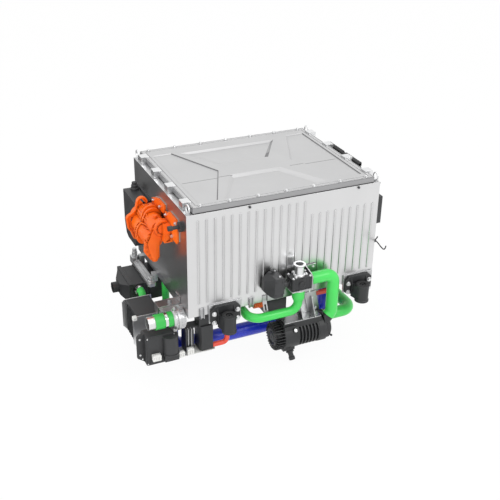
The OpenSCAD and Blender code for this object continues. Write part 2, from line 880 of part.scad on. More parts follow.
module pump_back_housing() {
    color(orange)
        placed()
            difference() {
                union() {
                    plate_xz(seam_y, back_plate_y + 6)
                        two_lobe_outline(housing_r - 2);
                    plate_xz(seam_y + 1, seam_y + 1 + flange_t)
                        seam_flange_outline(6);
                    difference() {
                        plate_xz(back_plate_y, back_plate_y + 18)
                            back_plate_outline(0);
                        plate_xz(back_plate_y - bite, back_plate_y + 5)
                            back_plate_outline(7);
                    }
                    rod_y(52, back_plate_y + 17, motor_end_y, driven_axis.x + 16, driven_axis.y + 26);
                    for (a = [105 : 22 : 193])
                        translate([drive_axis.x, 0, drive_axis.y])
                            rotate([0, -a, 0])
                                linear_extrude(4, center = true)
                                    polygon([[housing_r - 8, seam_y + 8], [flange_r - 2, seam_y + 8],
                                        [flange_r - 2, seam_y + 20], [housing_r + 1, back_plate_y - 4],
                                        [housing_r + 1, back_plate_y + 8], [housing_r - 8, back_plate_y + 8]]);
                    plate_yz(left_x - pump_foot_t, left_x)
                        back_foot_outline();
                    block([left_x - 34, seam_y + 12, 345], [left_x - 4, back_plate_y + bite, 414]);
                }
                for (p = [drive_axis, driven_axis])
                    rod_y(bearing_r, seam_y - bite, seam_y + 42, p.x, p.y);
                plate_xz(back_plate_y - bite, back_plate_y + 19) {
                    slot(drive_axis + [-17, 66], drive_axis + [7, 32], 5);
                    slot(driven_axis + [-37, 24], driven_axis + [-34, -8], 5);
                }
                pump_wall_cut();
            }
}

module pump_bolts() {
    color("#F2F2F2")
        placed()
            for (b = foot_bolts)
                translate([left_x - pump_foot_t, b.x, b.y])
                    rotate([0, -90, 0])
                        flange_bolt(8, pump_foot_t);
}

plug_y = -312;
plug_z = 452;
module pump_connector() {
    color("#2A2B2E")
        placed() {
            rod_x(24, left_x - 14, left_x, plug_y, plug_z);
            rod_x(9, left_x - 60, left_x - 13, plug_y, plug_z);
            rod_x(12, left_x - 64, left_x - 44, plug_y, plug_z);
        }
}

hydrogen_box_y = [back_y - 264.5, back_y - 70.5];
hydrogen_box_z = [225, 400];
module hydrogen_valve_box() {
    x = left_x - 34;
    y = hydrogen_box_y.y - 30;
    color(dark)
        placed() {
            block([left_x - 85, hydrogen_box_y.x, hydrogen_box_z.x],
                [left_x, hydrogen_box_y.y, hydrogen_box_z.y]);
            block([left_x - 10, hydrogen_box_y.x - 12, hydrogen_box_z.y - 4],
                [left_x, hydrogen_box_y.y + 6, hydrogen_box_z.y + 11]);
            translate([x, y, hydrogen_box_z.y - bite])
                rotate_extrude()
                    polygon([[0, 0], [21, 0], [21, 10], [17, 14], [17, 26], [13, 29], [13, 41], [0, 41]]);
            plate_yz(left_x - 85, left_x - 30)
                polygon([[hydrogen_box_y.x, hydrogen_box_z.x + bite],
                    [hydrogen_box_y.y, hydrogen_box_z.x + bite],
                    [hydrogen_box_y.y - 20, hydrogen_box_z.x - 60],
                        [hydrogen_box_y.y - 50, hydrogen_box_z.x - 75],
                    [hydrogen_box_y.x + 30, hydrogen_box_z.x - 75]]);
        }
}

/* Air filter at the lower left */

filter_y = [back_y - 288.5, back_y - 86.5];
filter_z = [-142, -38];
filter_x = [left_x - 140, left_x + 60];
filter_port_d = 56;
filter_mid = [(filter_y.x + filter_y.y) / 2, (filter_z.x + filter_z.y) / 2];

module filter_inlet_cover() {
    h = filter_z.y - filter_z.x;
    w = filter_y.y - filter_y.x;
    color(dark)
        placed()
            difference() {
                union() {
                    block([filter_x.x - 6, filter_y.x - 6, filter_z.x - 6],
                        [filter_x.x + 6, filter_y.y + 6, filter_z.y + 6]);
                    translate([filter_x.x - 5, filter_mid.x, filter_mid.y])
                        rotate([0, -90, 0])
                            pan([for (s = corners) [s.x * 32, s.y * 36]],
                                [for (s = corners) [s.x * h / 2, s.y * w / 2]], 30, 0);
                    rod_x(filter_port_d / 2, filter_x.x - 66, filter_x.x - 30, filter_mid.x, filter_mid.y);
                }
                rod_x(filter_port_d / 2 - 3, filter_x.x - 67, filter_x.x + 7, filter_mid.x, filter_mid.y);
                block([filter_x.x - 2, filter_y.x + 4, filter_z.x + 4],
                    [filter_x.x + 7, filter_y.y - 4, filter_z.y - 4]);
            }
}

module filter_body() {
    color(dark)
        placed()
            difference() {
                union() {
                    block([filter_x.x + 6, filter_y.x - 6, filter_z.x - 6],
                        [filter_x.x + 14, filter_y.y + 6, filter_z.y + 6]);
                    block([filter_x.x + 13, filter_y.x, filter_z.x], [filter_x.y, filter_y.y, filter_z.y]);
                    for (i = [0 : 2])
                        block([filter_x.x + 74 + i * 14, filter_y.x - 3, filter_z.x - 3],
                            [filter_x.x + 80 + i * 14, filter_y.y + 3, filter_z.y + 3]);
                    block([left_x + 10, filter_y.x + 30, filter_z.y - bite],
                        [filter_x.y - 10, filter_y.y - 30, 0]);
                    rod_x(air_hose_d / 2 - hose_wall - fit_gap, filter_x.y - bite, filter_x.y + 26,
                        filter_mid.x, filter_mid.y);
                    rod_y(filter_hose_d / 2 - hose_wall - fit_gap, filter_y.x - 26, filter_y.x + bite,
                        filter_port.x, filter_port.y);
                }
                block([filter_x.x + 5, filter_y.x + 4, filter_z.x + 4],
                    [filter_x.y - 4, filter_y.y - 4, filter_z.y - 4]);
                rod_x(air_hose_d / 2 - hose_wall - 4, filter_x.y - 5, filter_x.y + 27, filter_mid.x,
                    filter_mid.y);
                rod_y(filter_hose_d / 2 - hose_wall - 3, filter_y.x - 27, filter_y.x + 5,
                    filter_port.x, filter_port.y);
            }
}

module filter_element() {
    color("#E9E4D8")
        placed()
            block([filter_x.x + 40, filter_y.x + 4, filter_z.x + 4],
                [filter_x.x + 110, filter_y.y - 4, filter_z.y - 4]);
}

filter_port = [left_x - 93, filter_z.y - 28];
module filter_hose() {
    p0 = [filter_port.x, filter_y.x - 3, filter_port.y];
    color(green)
        placed()
            tube_run([p0, [p0.x, p0.y - 52, p0.z], [p0.x, p0.y - 52, p0.z - 112],
                [left_x + 30, p0.y - 52, p0.z - 112], [left_x + 30, p0.y - 52, 0]],
                [26, 30, 26], filter_hose_d / 2, filter_hose_d / 2 - hose_wall);
}

duct_z = -178;
inlet_y = front_y + 26.5;
module air_duct() {
    r = air_hose_d / 2;
    color("#35373A")
        placed()
            tube_run([[right_x - 85, inlet_y + 290, duct_z], [right_x - 85, filter_mid.x, duct_z],
                [filter_x.y + 110, filter_mid.x, duct_z], [filter_x.y + 110, filter_mid.x, filter_mid.y],
                [filter_x.y + 1, filter_mid.x, filter_mid.y]],
                [60, 40, 40], r, r - hose_wall);
}

/* Air compressor below the front edge, shaft along X */

comp_y = front_y - 23.5;
comp_z = -200;
comp_x0 = left_x + 425;
comp_x1 = comp_x0 + compressor_l;
comp_r = compressor_d / 2;
comp_bore = 46;
cover_x1 = comp_x1 + 42;
comp_foot_z = -118;

comp_fin_l = 43;
comp_mid_l = 82;
comp_fins = 28;
module compressor_housing() {
    core = comp_r - 22;
    mid_x = comp_x0 + comp_fin_l;
    ring_x = mid_x + comp_mid_l;
    rings = 6;
    pitch = (comp_x1 - 32 - ring_x) / rings;
    color(dark)
        placed()
            difference() {
                union() {
                    translate([comp_x0, comp_y, comp_z])
                        rotate([0, 90, 0])
                            rotate_extrude()
                                polygon(concat([[0, 0], [core - 3, 0], [core, 4], [core, comp_fin_l],
                                    [comp_r - 3, comp_fin_l + 4],
                                    [comp_r + 1, comp_fin_l + 8], [comp_r + 1, comp_fin_l + comp_mid_l]],
                                    [for (i = [0 : rings - 1], q = [[comp_r - 13, 0], [comp_r - 13, 0.62],
                                        [comp_r, 0.66], [comp_r, 1]])
                                        [q.x, comp_fin_l + comp_mid_l + (i + q.y) * pitch]],
                                    [[comp_r + 2, compressor_l - 30], [comp_r + 2, compressor_l],
                                        [0, compressor_l]]));
                    for (i = [0 : comp_fins - 1])
                        translate([comp_x0, comp_y, comp_z])
                            rotate([i * 360 / comp_fins, 0, 0])
                                plate_xz(-1.5, 1.5)
                                    polygon([[2, core - 4], [2, comp_r - 8], [8, comp_r - 1],
                                        [comp_fin_l + 6, comp_r - 1],
                                        [comp_fin_l + 6, core - 4]]);
                    block([mid_x + 2, comp_y - 46, comp_z + 50], [comp_x1 - 15, comp_y + 40, comp_foot_z]);
                    block([mid_x + 4, comp_y - 54, comp_z + 34], [mid_x + 60, comp_y - 20, comp_foot_z - 10]);
                    translate([mid_x + 60, comp_y, comp_z])
                        rotate([52, 0, 0])
                            rod_z(11, comp_r - 10, comp_r + 7, 0, 0);
                    block([mid_x + 6, comp_y - 42, comp_z - comp_r - 4],
                        [mid_x + 70, comp_y + 22, comp_z - 40]);
                }
                translate([comp_x0 - bite, comp_y, comp_z])
                    rotate([0, 90, 0])
                        cylinder(r1 = core - 8, r2 = comp_bearing_r + 4, h = 8);
                rod_x(comp_bore, comp_x0 + 20, comp_x1 - 30, comp_y, comp_z);
                rod_x(comp_bearing_r, comp_x0 + 6, comp_x1 + bite, comp_y, comp_z);
            }
}

comp_bearing_r = 26;
module compressor_bearings() {
    color(steel)
        placed()
            for (x = [comp_x0 + 8, comp_x1 - 26])
                translate([x, comp_y, comp_z])
                    rotate([0, 90, 0])
                        linear_extrude(12)
                            ring(comp_bearing_r - run_gap, compressor_shaft_d / 2 + run_gap);
}

module compressor_stator() {
    color("#B87346")
        placed()
            translate([comp_x0 + 60, comp_y, comp_z])
                rotate([0, 90, 0])
                    linear_extrude(130)
                        ring(comp_bore - 0.1, 31);
}

module compressor_rotor() {
    wheel_x = comp_x1 + 4;
    color("#CFD1D3")
        placed()
            translate([0, comp_y, comp_z]) {
                rod_x(compressor_shaft_d / 2, comp_x0 + 9, wheel_x + 3, 0, 0);
                rod_x(30, comp_x0 + 62, comp_x0 + 188, 0, 0);
                rod_x(36, wheel_x, wheel_x + 4, 0, 0);
                translate([wheel_x + 3, 0, 0])
                    rotate([0, 90, 0])
                        cylinder(r1 = 30, r2 = 9, h = 22);
                for (i = [0 : 7])
                    translate([wheel_x, 0, 0])
                        rotate([i * 45, 0, 0])
                            plate_blade();
            }
}

// One flat blade of the compressor wheel, standing on the hub
module plate_blade() {
    rotate([90, 0, 0])
        translate([0, 0, -1])
            linear_extrude(2)
                polygon([[2, 8], [2, 35], [8, 35], [24, 22], [24, 8]]);
}

outlet_corner = [comp_x1 + 47, front_y - 53.5, -108];
outlet_dir = [-sin(40), 0, -cos(40)];
outlet_end = outlet_corner + 26 * outlet_dir;
inlet_port = [cover_x1, inlet_y, -180];
spigot_r = air_hose_d / 2 - hose_wall - fit_gap;

module compressor_end_cover() {
    color(dark)
        placed()
            difference() {
                union() {
                    rod_x(comp_r + 2, comp_x1, comp_x1 + 8, comp_y, comp_z);
                    rod_x(comp_r - 5, comp_x1, cover_x1 - 10, comp_y, comp_z);
                    translate([cover_x1 - 11, comp_y, comp_z])
                        rotate([0, 90, 0])
                            cylinder(r1 = comp_r - 5, r2 = comp_r - 18, h = 11);
                    rod_x(spigot_r + 8, comp_x1 + 4, cover_x1, inlet_port.y, inlet_port.z);
                    rod_x(spigot_r, cover_x1 - bite, cover_x1 + 26, inlet_port.y, inlet_port.z);
                    stub(outlet_end + 42 * outlet_dir, -outlet_dir, 40, spigot_r + 4, 0);
                    stub(outlet_end + 10 * outlet_dir, -outlet_dir, 21, spigot_r, 0);
                }
                block([comp_x0, comp_y - 100, comp_z - 100], [comp_x1, comp_y + 100, comp_z + 100]);
                rod_x(42, comp_x1 - bite, comp_x1 + 30, comp_y, comp_z);
                rod_x(spigot_r - 4, comp_x1 + 12, cover_x1 + 27, inlet_port.y, inlet_port.z);
                stub(outlet_end + 30 * outlet_dir, -outlet_dir, 60, spigot_r - 4, 0);
            }
}

// Bent-down connector under the middle of the compressor
module compressor_cable_gland() {
    start = [comp_x0 + comp_fin_l + 48, comp_y - 22, comp_z - comp_r - 4];
    dir = unit([0.1, -0.5, -0.86]);
    color("#2B2C2F")
        placed()
            difference() {
                union() {
                    facing(start - 8 * dir, any_side(dir), dir)
                        rotate_extrude()
                            polygon([[0, 0], [17, 0], [17, 20], [20, 22], [20, 29], [15, 31], [13, 36],
                                [13, 52], [16, 54],
                                [16, 66], [14, 70], [9, 70], [9, 60], [0, 60]]);
                    rod_z(18, start.z - 8, start.z, start.x, start.y);
                }
                block(start + [-60, -60, 0], start + [60, 60, 60]);
            }
}

module compressor_bracket() {
    x0 = comp_x0 + 150;
    x1 = comp_x1 + 8;
    t = 6;
    low = comp_foot_z;
    color(steel)
        placed()
            difference() {
                union() {
                    block([x0 + 20, front_y - t, -t], [x1 - 16, front_y + 50, 0]);
                    plate_xz(front_y - t, front_y)
                        polygon([[x0, low], [x1, low], [x1 - 30, 0], [x0 + 32, 0]]);
                    block([comp_x0 + comp_fin_l + 8, front_y - 66, low], [comp_x1 - 16, front_y + 16, low + t]);
                    for (x = [x0 + 4, x1 - 56])
                        plate_yz(x, x + 4)
                            polygon([[front_y - 60, low + t - bite], [front_y - t + bite, low + t - bite],
                                [front_y - t + bite, -24], [front_y - 14, -24]]);
                    plate_xz(front_y - t - 5, front_y - t + bite)
                        polygon([[x0 + 34, -8], [x0 + 42, -8], [x0 + 66, low + 12], [x0 + 58, low + 12]]);
                }
                plate_xz(front_y - t - bite, front_y + bite)
                    slot([x1 - 30, low + 22], [x1 - 18, low + 14], 4);
                rod_y(4.5, front_y - t - bite, front_y + bite, x1 - 48, -34);
                rod_y(4.5, front_y - t - bite, front_y + bite, x0 + 44, -30);
            }
}

// Plate in the YZ plane from x0 to x1
module plate_yz(x0, x1) {
    translate([x0, 0, 0])
        rotate([90, 0, 90])
            linear_extrude(x1 - x0)
                children();
}

module outlet_hose() {
    color(green)
        placed()
            tube_run([[valve_x1 + 7, valve_y, valve_z], [outlet_corner.x, valve_y, valve_z], outlet_corner,
                outlet_end], [46, 40], air_hose_d / 2, air_hose_d / 2 - hose_wall);
}

module inlet_hose() {
    color(green)
        placed()
            tube_run([[cover_x1 + 1, inlet_y, -180], [right_x - 85, inlet_y, -180],
                [right_x - 85, inlet_y + 290, -180]],
                [60], air_hose_d / 2, air_hose_d / 2 - hose_wall);
}

module hose_clamps() {
    r = air_hose_d / 2;
    color("#C9CBCE")
        placed() {
            band([filter_port.x, filter_y.x - 14, filter_port.y], [0, -1, 0], filter_hose_d / 2);
            band([coolant_x.x + 88, coolant_y, coolant_z], [1, 0, 0], coolant_port_d / 2 + hose_wall);
            band([cover_x1 + 14, inlet_y, -180], [1, 0, 0], r);
            band([filter_x.y + 14, filter_mid.x, filter_mid.y], [1, 0, 0], r);
        }
}

/* Three way valve at the front */

valve_y = front_y - 53.5;
valve_z = 108;
valve_x0 = left_x + 496;
valve_x1 = valve_x0 + 110;
valve_mid_x = valve_x0 + 54;
valve_shaft_r = 6;
drum_r = 26;
bracket_sheet_t = 5;
lower_port_r = air_hose_d / 2 - hose_wall - fit_gap;

module valve_body() {
    low = valve_z - 33;
    color(dark)
        placed()
            difference() {
                union() {
                    translate([(valve_x0 + valve_x1) / 2, valve_y, low])
                        linear_extrude(66)
                            round_rect(valve_x1 - valve_x0, 64, 8);
                    rod_z(37, low, valve_z + 30, valve_mid_x, valve_y);
                    for (sx = [-1, 1], sy = [-1, 1])
                        rod_z(9, low, valve_z + 33, (valve_x0 + valve_x1) / 2 + sx * 45, valve_y + sy * 27);
                    rod_x(24, valve_x0 - 6, valve_x0 + 2, valve_y, valve_z);
                    rod_x(18, valve_x0 - 12, valve_x0 + 2, valve_y, valve_z);
                    rod_x(spigot_r, valve_x1 - bite, valve_x1 + 36, valve_y, valve_z);
                    rod_z(lower_port_r, valve_z - 62, low + bite, valve_mid_x, valve_y);
                }
                rod_x(drum_r + 0.6, valve_x0 + 14, valve_x1 - 8, valve_y, valve_z);
                rod_x(spigot_r - 4, valve_x1 - 9, valve_x1 + 37, valve_y, valve_z);
                rod_z(18, low - bite, valve_z + 34, valve_mid_x, valve_y);
                rod_z(lower_port_r - 4, valve_z - 63, low + 3, valve_mid_x, valve_y);
                rod_x(valve_shaft_r + run_gap, valve_x0 - 13, valve_x0 + 15, valve_y, valve_z);
            }
}

module valve_rotor() {
    color("#BFC1C4")
        placed()
            translate([0, valve_y, valve_z]) {
                rod_x(valve_shaft_r, valve_x0 - 20, valve_x0 + 16, 0, 0);
                rod_x(drum_r, valve_x0 + 15, valve_x0 + 19, 0, 0);
                translate([valve_x0 + 18, 0, 0])
                    rotate([90, 0, 90])
                        rotate_extrude_sector();
            }
}

// Wall of the valve drum that covers one port
module rotate_extrude_sector() {
    linear_extrude(70)
        intersection() {
            ring(drum_r, drum_r - 3);
            polygon([[0, 0], [60, 80], [-60, 80]]);
        }
}

// Gear motor of the valve: a case with a bevelled left side and sloping shoulders
module valve_actuator() {
    x1 = valve_x0 - 46;
    x0 = x1 - 78;
    y0 = valve_y - 42;
    y1 = front_y - bead_h - bracket_sheet_t;
    z0 = valve_z - 43;
    z1 = valve_z + 60;
    color(dark)
        placed()
            difference() {
                union() {
                    intersection() {
                        translate([0, 0, z0])
                            linear_extrude(z1 - z0)
                                polygon([[x0 + 30, y0], [x1 - 4, y0], [x1, y0 + 5], [x1, y1], [x0, y1],
                                    [x0, y0 + 58]]);
                        plate_xz(y0, y1)
                            polygon([[x0, z0 + 14], [x0 + 18, z0], [x1, z0], [x1, z1 - 8], [x1 - 8, z1],
                                [x0 + 32, z1],
                                [x0, z1 - 30]]);
                    }
                    rod_z(10, z1 - bite, z1 + 13, x1 - 30, y1 - 14);
                    rod_z(8, z1 - 14, z1 + 9, x1 - 44, y1 - 20);
                    block([x1 - bite, y0 + 12, z0 + 8], [x1 + 8, y1 - 6, z1 - 12]);
                    rod_x(15, x1 + 4, valve_x0 - 12, valve_y, valve_z);
                    block([x1 + 7, valve_y - 7, valve_z - 24], [valve_x0 - 22, valve_y + 7, valve_z + 24]);
                }
                rod_x(valve_shaft_r + 0.5, x1 + 6, valve_x0 - 11, valve_y, valve_z);
            }
}

module valve_top_fitting() {
    z0 = valve_z + 33;
    color("#E2E4E6")
        placed()
            difference() {
                union() {
                    translate([valve_mid_x, valve_y, z0])
                        linear_extrude(6) {
                            circle(r = 28);
                            for (a = [120, -17, 217])
                                rotate([0, 0, a]) {
                                    translate([34, 0])
                                        circle(r = 8);
                                    translate([0, -8])
                                        square([34, 16]);
                                }
                        }
                    translate([valve_mid_x, valve_y, z0])
                        rotate_extrude()
                            polygon([[18, 0], [24, 0], [24, 8], [22, 11], [22, 50], [29, 58], [30, 59],
                                [30, 62], [18, 62]]);
                }
                rod_z(19, z0 - bite, z0 + 63, valve_mid_x, valve_y);
            }
}

module valve_bracket() {
    t = bracket_sheet_t;
    low = valve_z - 46;
    color(steel)
        placed()
            difference() {
                union() {
                    plate_yz(valve_x1, valve_x1 + t)
                        polygon([[front_y - bead_h, low], [front_y - bead_h, valve_z + 50],
                            [front_y - 66, valve_z + 38],
                            [front_y - 84, valve_z + 26], [front_y - 84, low]]);
                    block([valve_x0 + 2, valve_y - 37, valve_z - 39],
                        [valve_x1 + bite, front_y - bead_h, valve_z - 33]);
                    block([valve_x1, front_y - bead_h - t, low],
                        [valve_x1 + 60, front_y - bead_h, valve_z + 50]);
                    plate_xz(front_y - bead_h - t, front_y - bead_h)
                        polygon([[valve_x0 - 90, 4], [valve_x1 + t, 4], [valve_x1 + t, valve_z - 35],
                            [valve_x0 - 40, valve_z - 35], [valve_x0 - 90, 40]]);
                    block([valve_x0 - 90, front_y - bead_h - bite, 4], [valve_x1 + 60, front_y, bead_foot - 8]);
                }
                rod_x(spigot_r + fit_gap, valve_x1 - bite, valve_x1 + t + bite, valve_y, valve_z);
                rod_z(lower_port_r + fit_gap, valve_z - 40, valve_z - 32, valve_mid_x, valve_y);
                for (z = [low + 20, valve_z + 34])
                    rod_y(4.5, front_y - bead_h - t - bite, front_y - bead_h + bite, valve_x1 + 44, z);
            }
}

lower_z = -53;
lower_left_x = left_x + 300;
module lower_hose() {
    r = coolant_hose_d / 2;
    top = [valve_mid_x, valve_y, valve_z - 40];
    neck = 18;
    color(green)
        placed() {
            stub(top, [0, 0, -1], top.z - neck, air_hose_d / 2, air_hose_d / 2 - hose_wall);
            translate([top.x, top.y, neck - 22])
                difference() {
                    cylinder(r1 = r, r2 = air_hose_d / 2, h = 22);
                    cylinder(r1 = r - hose_wall, r2 = air_hose_d / 2 - hose_wall, h = 22);
                }
            tube_run([[top.x, top.y, neck - 22], [top.x, top.y, lower_z], [lower_left_x, valve_y, lower_z],
                [lower_left_x, front_y + 96, lower_z], [lower_left_x, front_y + 96, 0]],
                [45, 60, 38], r, r - hose_wall);
        }
}

/* Coolant parts at the lower left front corner */

coolant_x = [left_x - 184, left_x - 62];
coolant_y = front_y + 56.5;
coolant_z = -17;

port_shoulder = 34;
port_fit_r = coolant_port_d / 2 - 0.6;
module coolant_port_pipe() {
    x2 = coolant_x.x + 70;
    color("#D9DADC")
        placed()
            difference() {
                union() {
                    rod_x(coolant_port_d / 2, coolant_x.x, coolant_x.x + port_shoulder, coolant_y, coolant_z);
                    rod_x(port_fit_r, coolant_x.x, x2, coolant_y, coolant_z);
                }
                rod_x(port_fit_r - pipe_wall, coolant_x.x - bite, x2 + bite, coolant_y, coolant_z);
            }
}

module coolant_coupling() {
    color("#3CCB56")
        placed()
            translate([coolant_x.x + port_shoulder, coolant_y, coolant_z])
                rotate([0, 90, 0])
                    linear_extrude(coolant_x.y - coolant_x.x - port_shoulder)
                        ring(coolant_port_d / 2 + hose_wall, port_fit_r + fit_gap);
}

pump_out = [left_x - 37, front_y + 154.5];
controller_top = -80;
volute_r = 48;
// Cast volute with ribs, a bleed stub on top and the outlet down into the long pipe
module coolant_pump_housing() {
    z = coolant_z - 6;
    color("#C4C6C8")
        placed()
            difference() {
                union() {
                    translate([coolant_x.y - 26, coolant_y, z])
                        rotate([0, 90, 0])
                            rotate_extrude()
                                polygon([[0, 26], [volute_r - 8, 26], [volute_r, 34], [volute_r, 46],
                                    [volute_r + 6, 46],
                                    [volute_r + 6, 56], [volute_r, 56], [volute_r - 4, 84], [0, 84]]);
                    rod_x(port_fit_r, coolant_x.y - 26, coolant_x.y + 4, coolant_y, coolant_z);
                    for (a = [0 : 30 : 330])
                        translate([coolant_x.y, coolant_y, z])
                            rotate([a, 0, 0])
                                block([10, -2, volute_r - 12], [54, 2, volute_r + 3]);
                    rod_z(9, z + volute_r - 6, z + volute_r + 12, coolant_x.y + 14, coolant_y + 6);
                    rod_z(6, z + volute_r + 11, z + volute_r + 20, coolant_x.y + 14, coolant_y + 6);
                    block([coolant_x.y + 1, coolant_y - 20, controller_top],
                        [left_x - 44, coolant_y + 34, -40]);
                    block([left_x - 50, coolant_y, -70], [left_x - 2, pump_out.y, -20]);
                    rod_z(main_pipe_d / 2 - pipe_wall - fit_gap, -110, -20, pump_out.x, pump_out.y);
                }
                rod_x(port_fit_r - 4, coolant_x.y - 27, coolant_x.y + 10, coolant_y, coolant_z);
                rod_x(40, coolant_x.y + 8, left_x - 10, coolant_y, z);
                rod_z(main_pipe_d / 2 - 8, -111, -30, pump_out.x, pump_out.y);
                rod_x(6 + run_gap, left_x - 11, left_x - bite, coolant_y, z);
            }
}

module coolant_pump_impeller() {
    color("#3A3C40")
        placed()
            translate([0, coolant_y, coolant_z - 6]) {
                rod_x(6, coolant_x.y + 30, left_x - 4, 0, 0);
                rod_x(36, left_x - 24, left_x - 20, 0, 0);
                for (i = [0 : 5])
                    translate([left_x - 32, 0, 0])
                        rotate([i * 60, 0, 0])
                            block([0, -1.5, 4], [10, 1.5, 35]);
            }
}

module coolant_pump_controller() {
    y0 = front_y + 36.5;
    x0 = left_x - 203;
    z0 = -238;
    z1 = controller_top;
    color(dark)
        placed()
            difference() {
                union() {
                    translate([(x0 + left_x - 41) / 2, y0, (z0 + z1) / 2])
                        rotate([-90, 0, 0])
                            linear_extrude(74)
                                round_rect(left_x - 41 - x0, z1 - z0, 12);
                    plate_xz(y0 + 28, y0 + 40)
                        polygon([[x0 - 33, z0 + 34], [x0 + 4, z0 + 6], [x0 + 4, z1 + 4], [x0 - 20, z1 + 4],
                            [x0 - 33, z1 - 8]]);
                    rod_z(38, z0 + 50, z1 - 12, left_x - 80, y0);
                    rod_z(41, z0 + 44, z0 + 52, left_x - 80, y0);
                    block([left_x - 116, y0 - 26, z0 + 14], [left_x - 46, y0 + bite, z0 + 48]);
                    block([x0 + 22, y0 - 6, z0 + 10], [x0 + 74, y0 + bite, z0 + 30]);
                }
                translate([0, y0 - 1, 0])
                    plate_xz(0, 3)
                        difference() {
                            translate([(x0 + left_x - 41) / 2, (z0 + z1) / 2])
                                square([left_x - 41 - x0 - 12, z1 - z0 - 12], center = true);
                            translate([(x0 + left_x - 41) / 2, (z0 + z1) / 2])
                                square([left_x - 41 - x0 - 15, z1 - z0 - 15], center = true);
                            translate([left_x - 80, (z0 + z1) / 2])
                                square([100, z1 - z0], center = true);
                        }
            }
}

main_pipe_z = -246;
module main_coolant_pipe() {
    r = main_pipe_d / 2;
    color("#2F3BC0")
        placed()
            tube_run([[pump_out.x, pump_out.y, -96], [pump_out.x, pump_out.y, main_pipe_z],
                [right_x - 181, pump_out.y, main_pipe_z], [right_x - 181, pump_out.y, 0]],
                [70, 70], r, r - pipe_wall);
}

module small_coolant_pipes() {
    r = small_pipe_d / 2;
    back = front_y + 96.5;
    far_x = valve_x0 + 154;
    color("#E0523C")
        placed() {
            tube_run([[left_x + 139, front_y + 46.5, -212], [left_x + 217, front_y + 46.5, -212],
                [left_x + 217, front_y + 46.5, 0]], [26], r, r - pipe_wall);
            tube_run([[far_x, back, 0], [far_x, back, -85], [right_x - 128, back, -85],
                [right_x - 128, back + 130, -85], [right_x - 128, back + 130, 0]],
                [30, 30, 30], r, r - pipe_wall);
        }
}

rail_z = -14;
module coolant_rail() {
    x = left_x - 42;
    y0 = filter_y.x - 68;
    y1 = filter_y.y + 40;
    color(silver)
        placed()
            difference() {
                union() {
                    translate([0, 0, rail_z - 18])
                        linear_extrude(18)
                            polygon([[x - 20, y0 + 8], [x - 12, y0], [x + 12, y0], [x + 20, y0 + 8],
                                [x + 20, y1 - 14],
                                [x + 8, y1], [x - 20, y1]]);
                    block([x - 14, y0 + 44, rail_z - bite], [x + 10, y1 - 50, rail_z + 7]);
                    translate([x, y0 + 22, rail_z - bite])
                        rotate_extrude()
                            polygon([[0, 0], [17, 0], [17, 10], [13, 13], [13, 26], [9, 28], [9, 38], [0, 38]]);
                    translate([x, y1 - 20, rail_z - bite])
                        rotate_extrude()
                            polygon([[0, 0], [19, 0], [19, 16], [14, 20], [14, 44], [11, 46], [11, 62],
                                [0, 62]]);
                    block([x - 22, y1 - 46, rail_z - 18], [x - 4, y1 - 4, rail_z + 20]);
                    for (y = [y0 + 40, y1 - 60])
                        block([x + 16, y, rail_z - 14], [left_x, y + 30, rail_z + 30]);
                }
                translate([0, 0, rail_z + 3])
                    linear_extrude(8)
                        slot([x - 2, y0 + 60], [x - 2, y1 - 66], 5);
            }
}

inverter_y = [front_y + 196.5, front_y + 376.5];
inverter_z = [-238, -58];
module inverter_box() {
    x0 = left_x - 190;
    color(dark)
        placed() {
            block([x0, inverter_y.x + 4, inverter_z.x + 2], [left_x - 70, inverter_y.y - 4, inverter_z.y - 2]);
            for (i = [0 : 6])
                block([x0 - 6, inverter_y.x + 16 + i * 23, inverter_z.x + 12],
                    [x0 + 1, inverter_y.x + 22 + i * 23, inverter_z.y - 18]);
        }
}

module inverter_frame() {
    x0 = left_x - 212;
    shelf = inverter_z.y - 2;
    color("#E8E9EA")
        placed() {
            for (y = [inverter_y.x, inverter_y.y - 4])
                plate_xz(y, y + 4)
                    polygon([[x0, inverter_z.x + 30], [x0 + 24, inverter_z.x], [left_x - 60, inverter_z.x],
                        [left_x - 60, inverter_z.y], [x0 + 10, inverter_z.y], [x0, inverter_z.y - 10]]);
            block([left_x - 66, inverter_y.x, shelf - 6], [left_x + 40, inverter_y.x + 90, shelf]);
            block([left_x + 34, inverter_y.x, shelf - 6], [left_x + 40, inverter_y.x + 90, 0]);
        }
}

module relay_boxes() {
    y0 = front_y + 36.5;
    y1 = front_y + 112;
    color(dark)
        placed() {
            translate([0, 0, -228])
                linear_extrude(138)
                    polygon([[left_x + 72, y0 + 12], [left_x + 80, y0], [left_x + 139, y0], [left_x + 139, y1],
                        [left_x + 72, y1]]);
            plate_xz(y0 + 8, y1)
                polygon([[left_x + 72, -91], [left_x + 130, -91], [left_x + 130, -10], [left_x + 112, 0],
                    [left_x + 84, 0], [left_x + 72, -12]]);
            for (i = [0 : 2])
                plate_yz(left_x + 2 + i * 16, left_x + 12 + i * 16)
                    polygon([[y0 + 10, -216], [y0 + 22, -228], [y1 - 2, -228], [y1 - 2, -92],
                        [y0 + 20, -92], [y0 + 10, -104]]);
            block([left_x + 2, y0 + 24, -100], [left_x + 73, y1 - 4, -91]);
        }
}

// Electric heater below the floor with its rounded plug
module heater_box() {
    x0 = left_x + 415;
    y0 = front_y + 30;
    color("#2C2D30")
        placed() {
            block([x0, y0, -96], [x0 + 115, y0 + 100, 0]);
            block([x0 + 12, y0 - 8, -88], [x0 + 103, y0 + bite, -20]);
        }
    color(orange)
        placed()
            difference() {
                union() {
                    rod_x(26, x0 - 48, x0, y0 + 42, -46);
                    rod_x(29, x0 - 20, x0 - 8, y0 + 42, -46);
                }
                rod_x(20, x0 - 49, x0 - 42, y0 + 42, -46);
            }
}

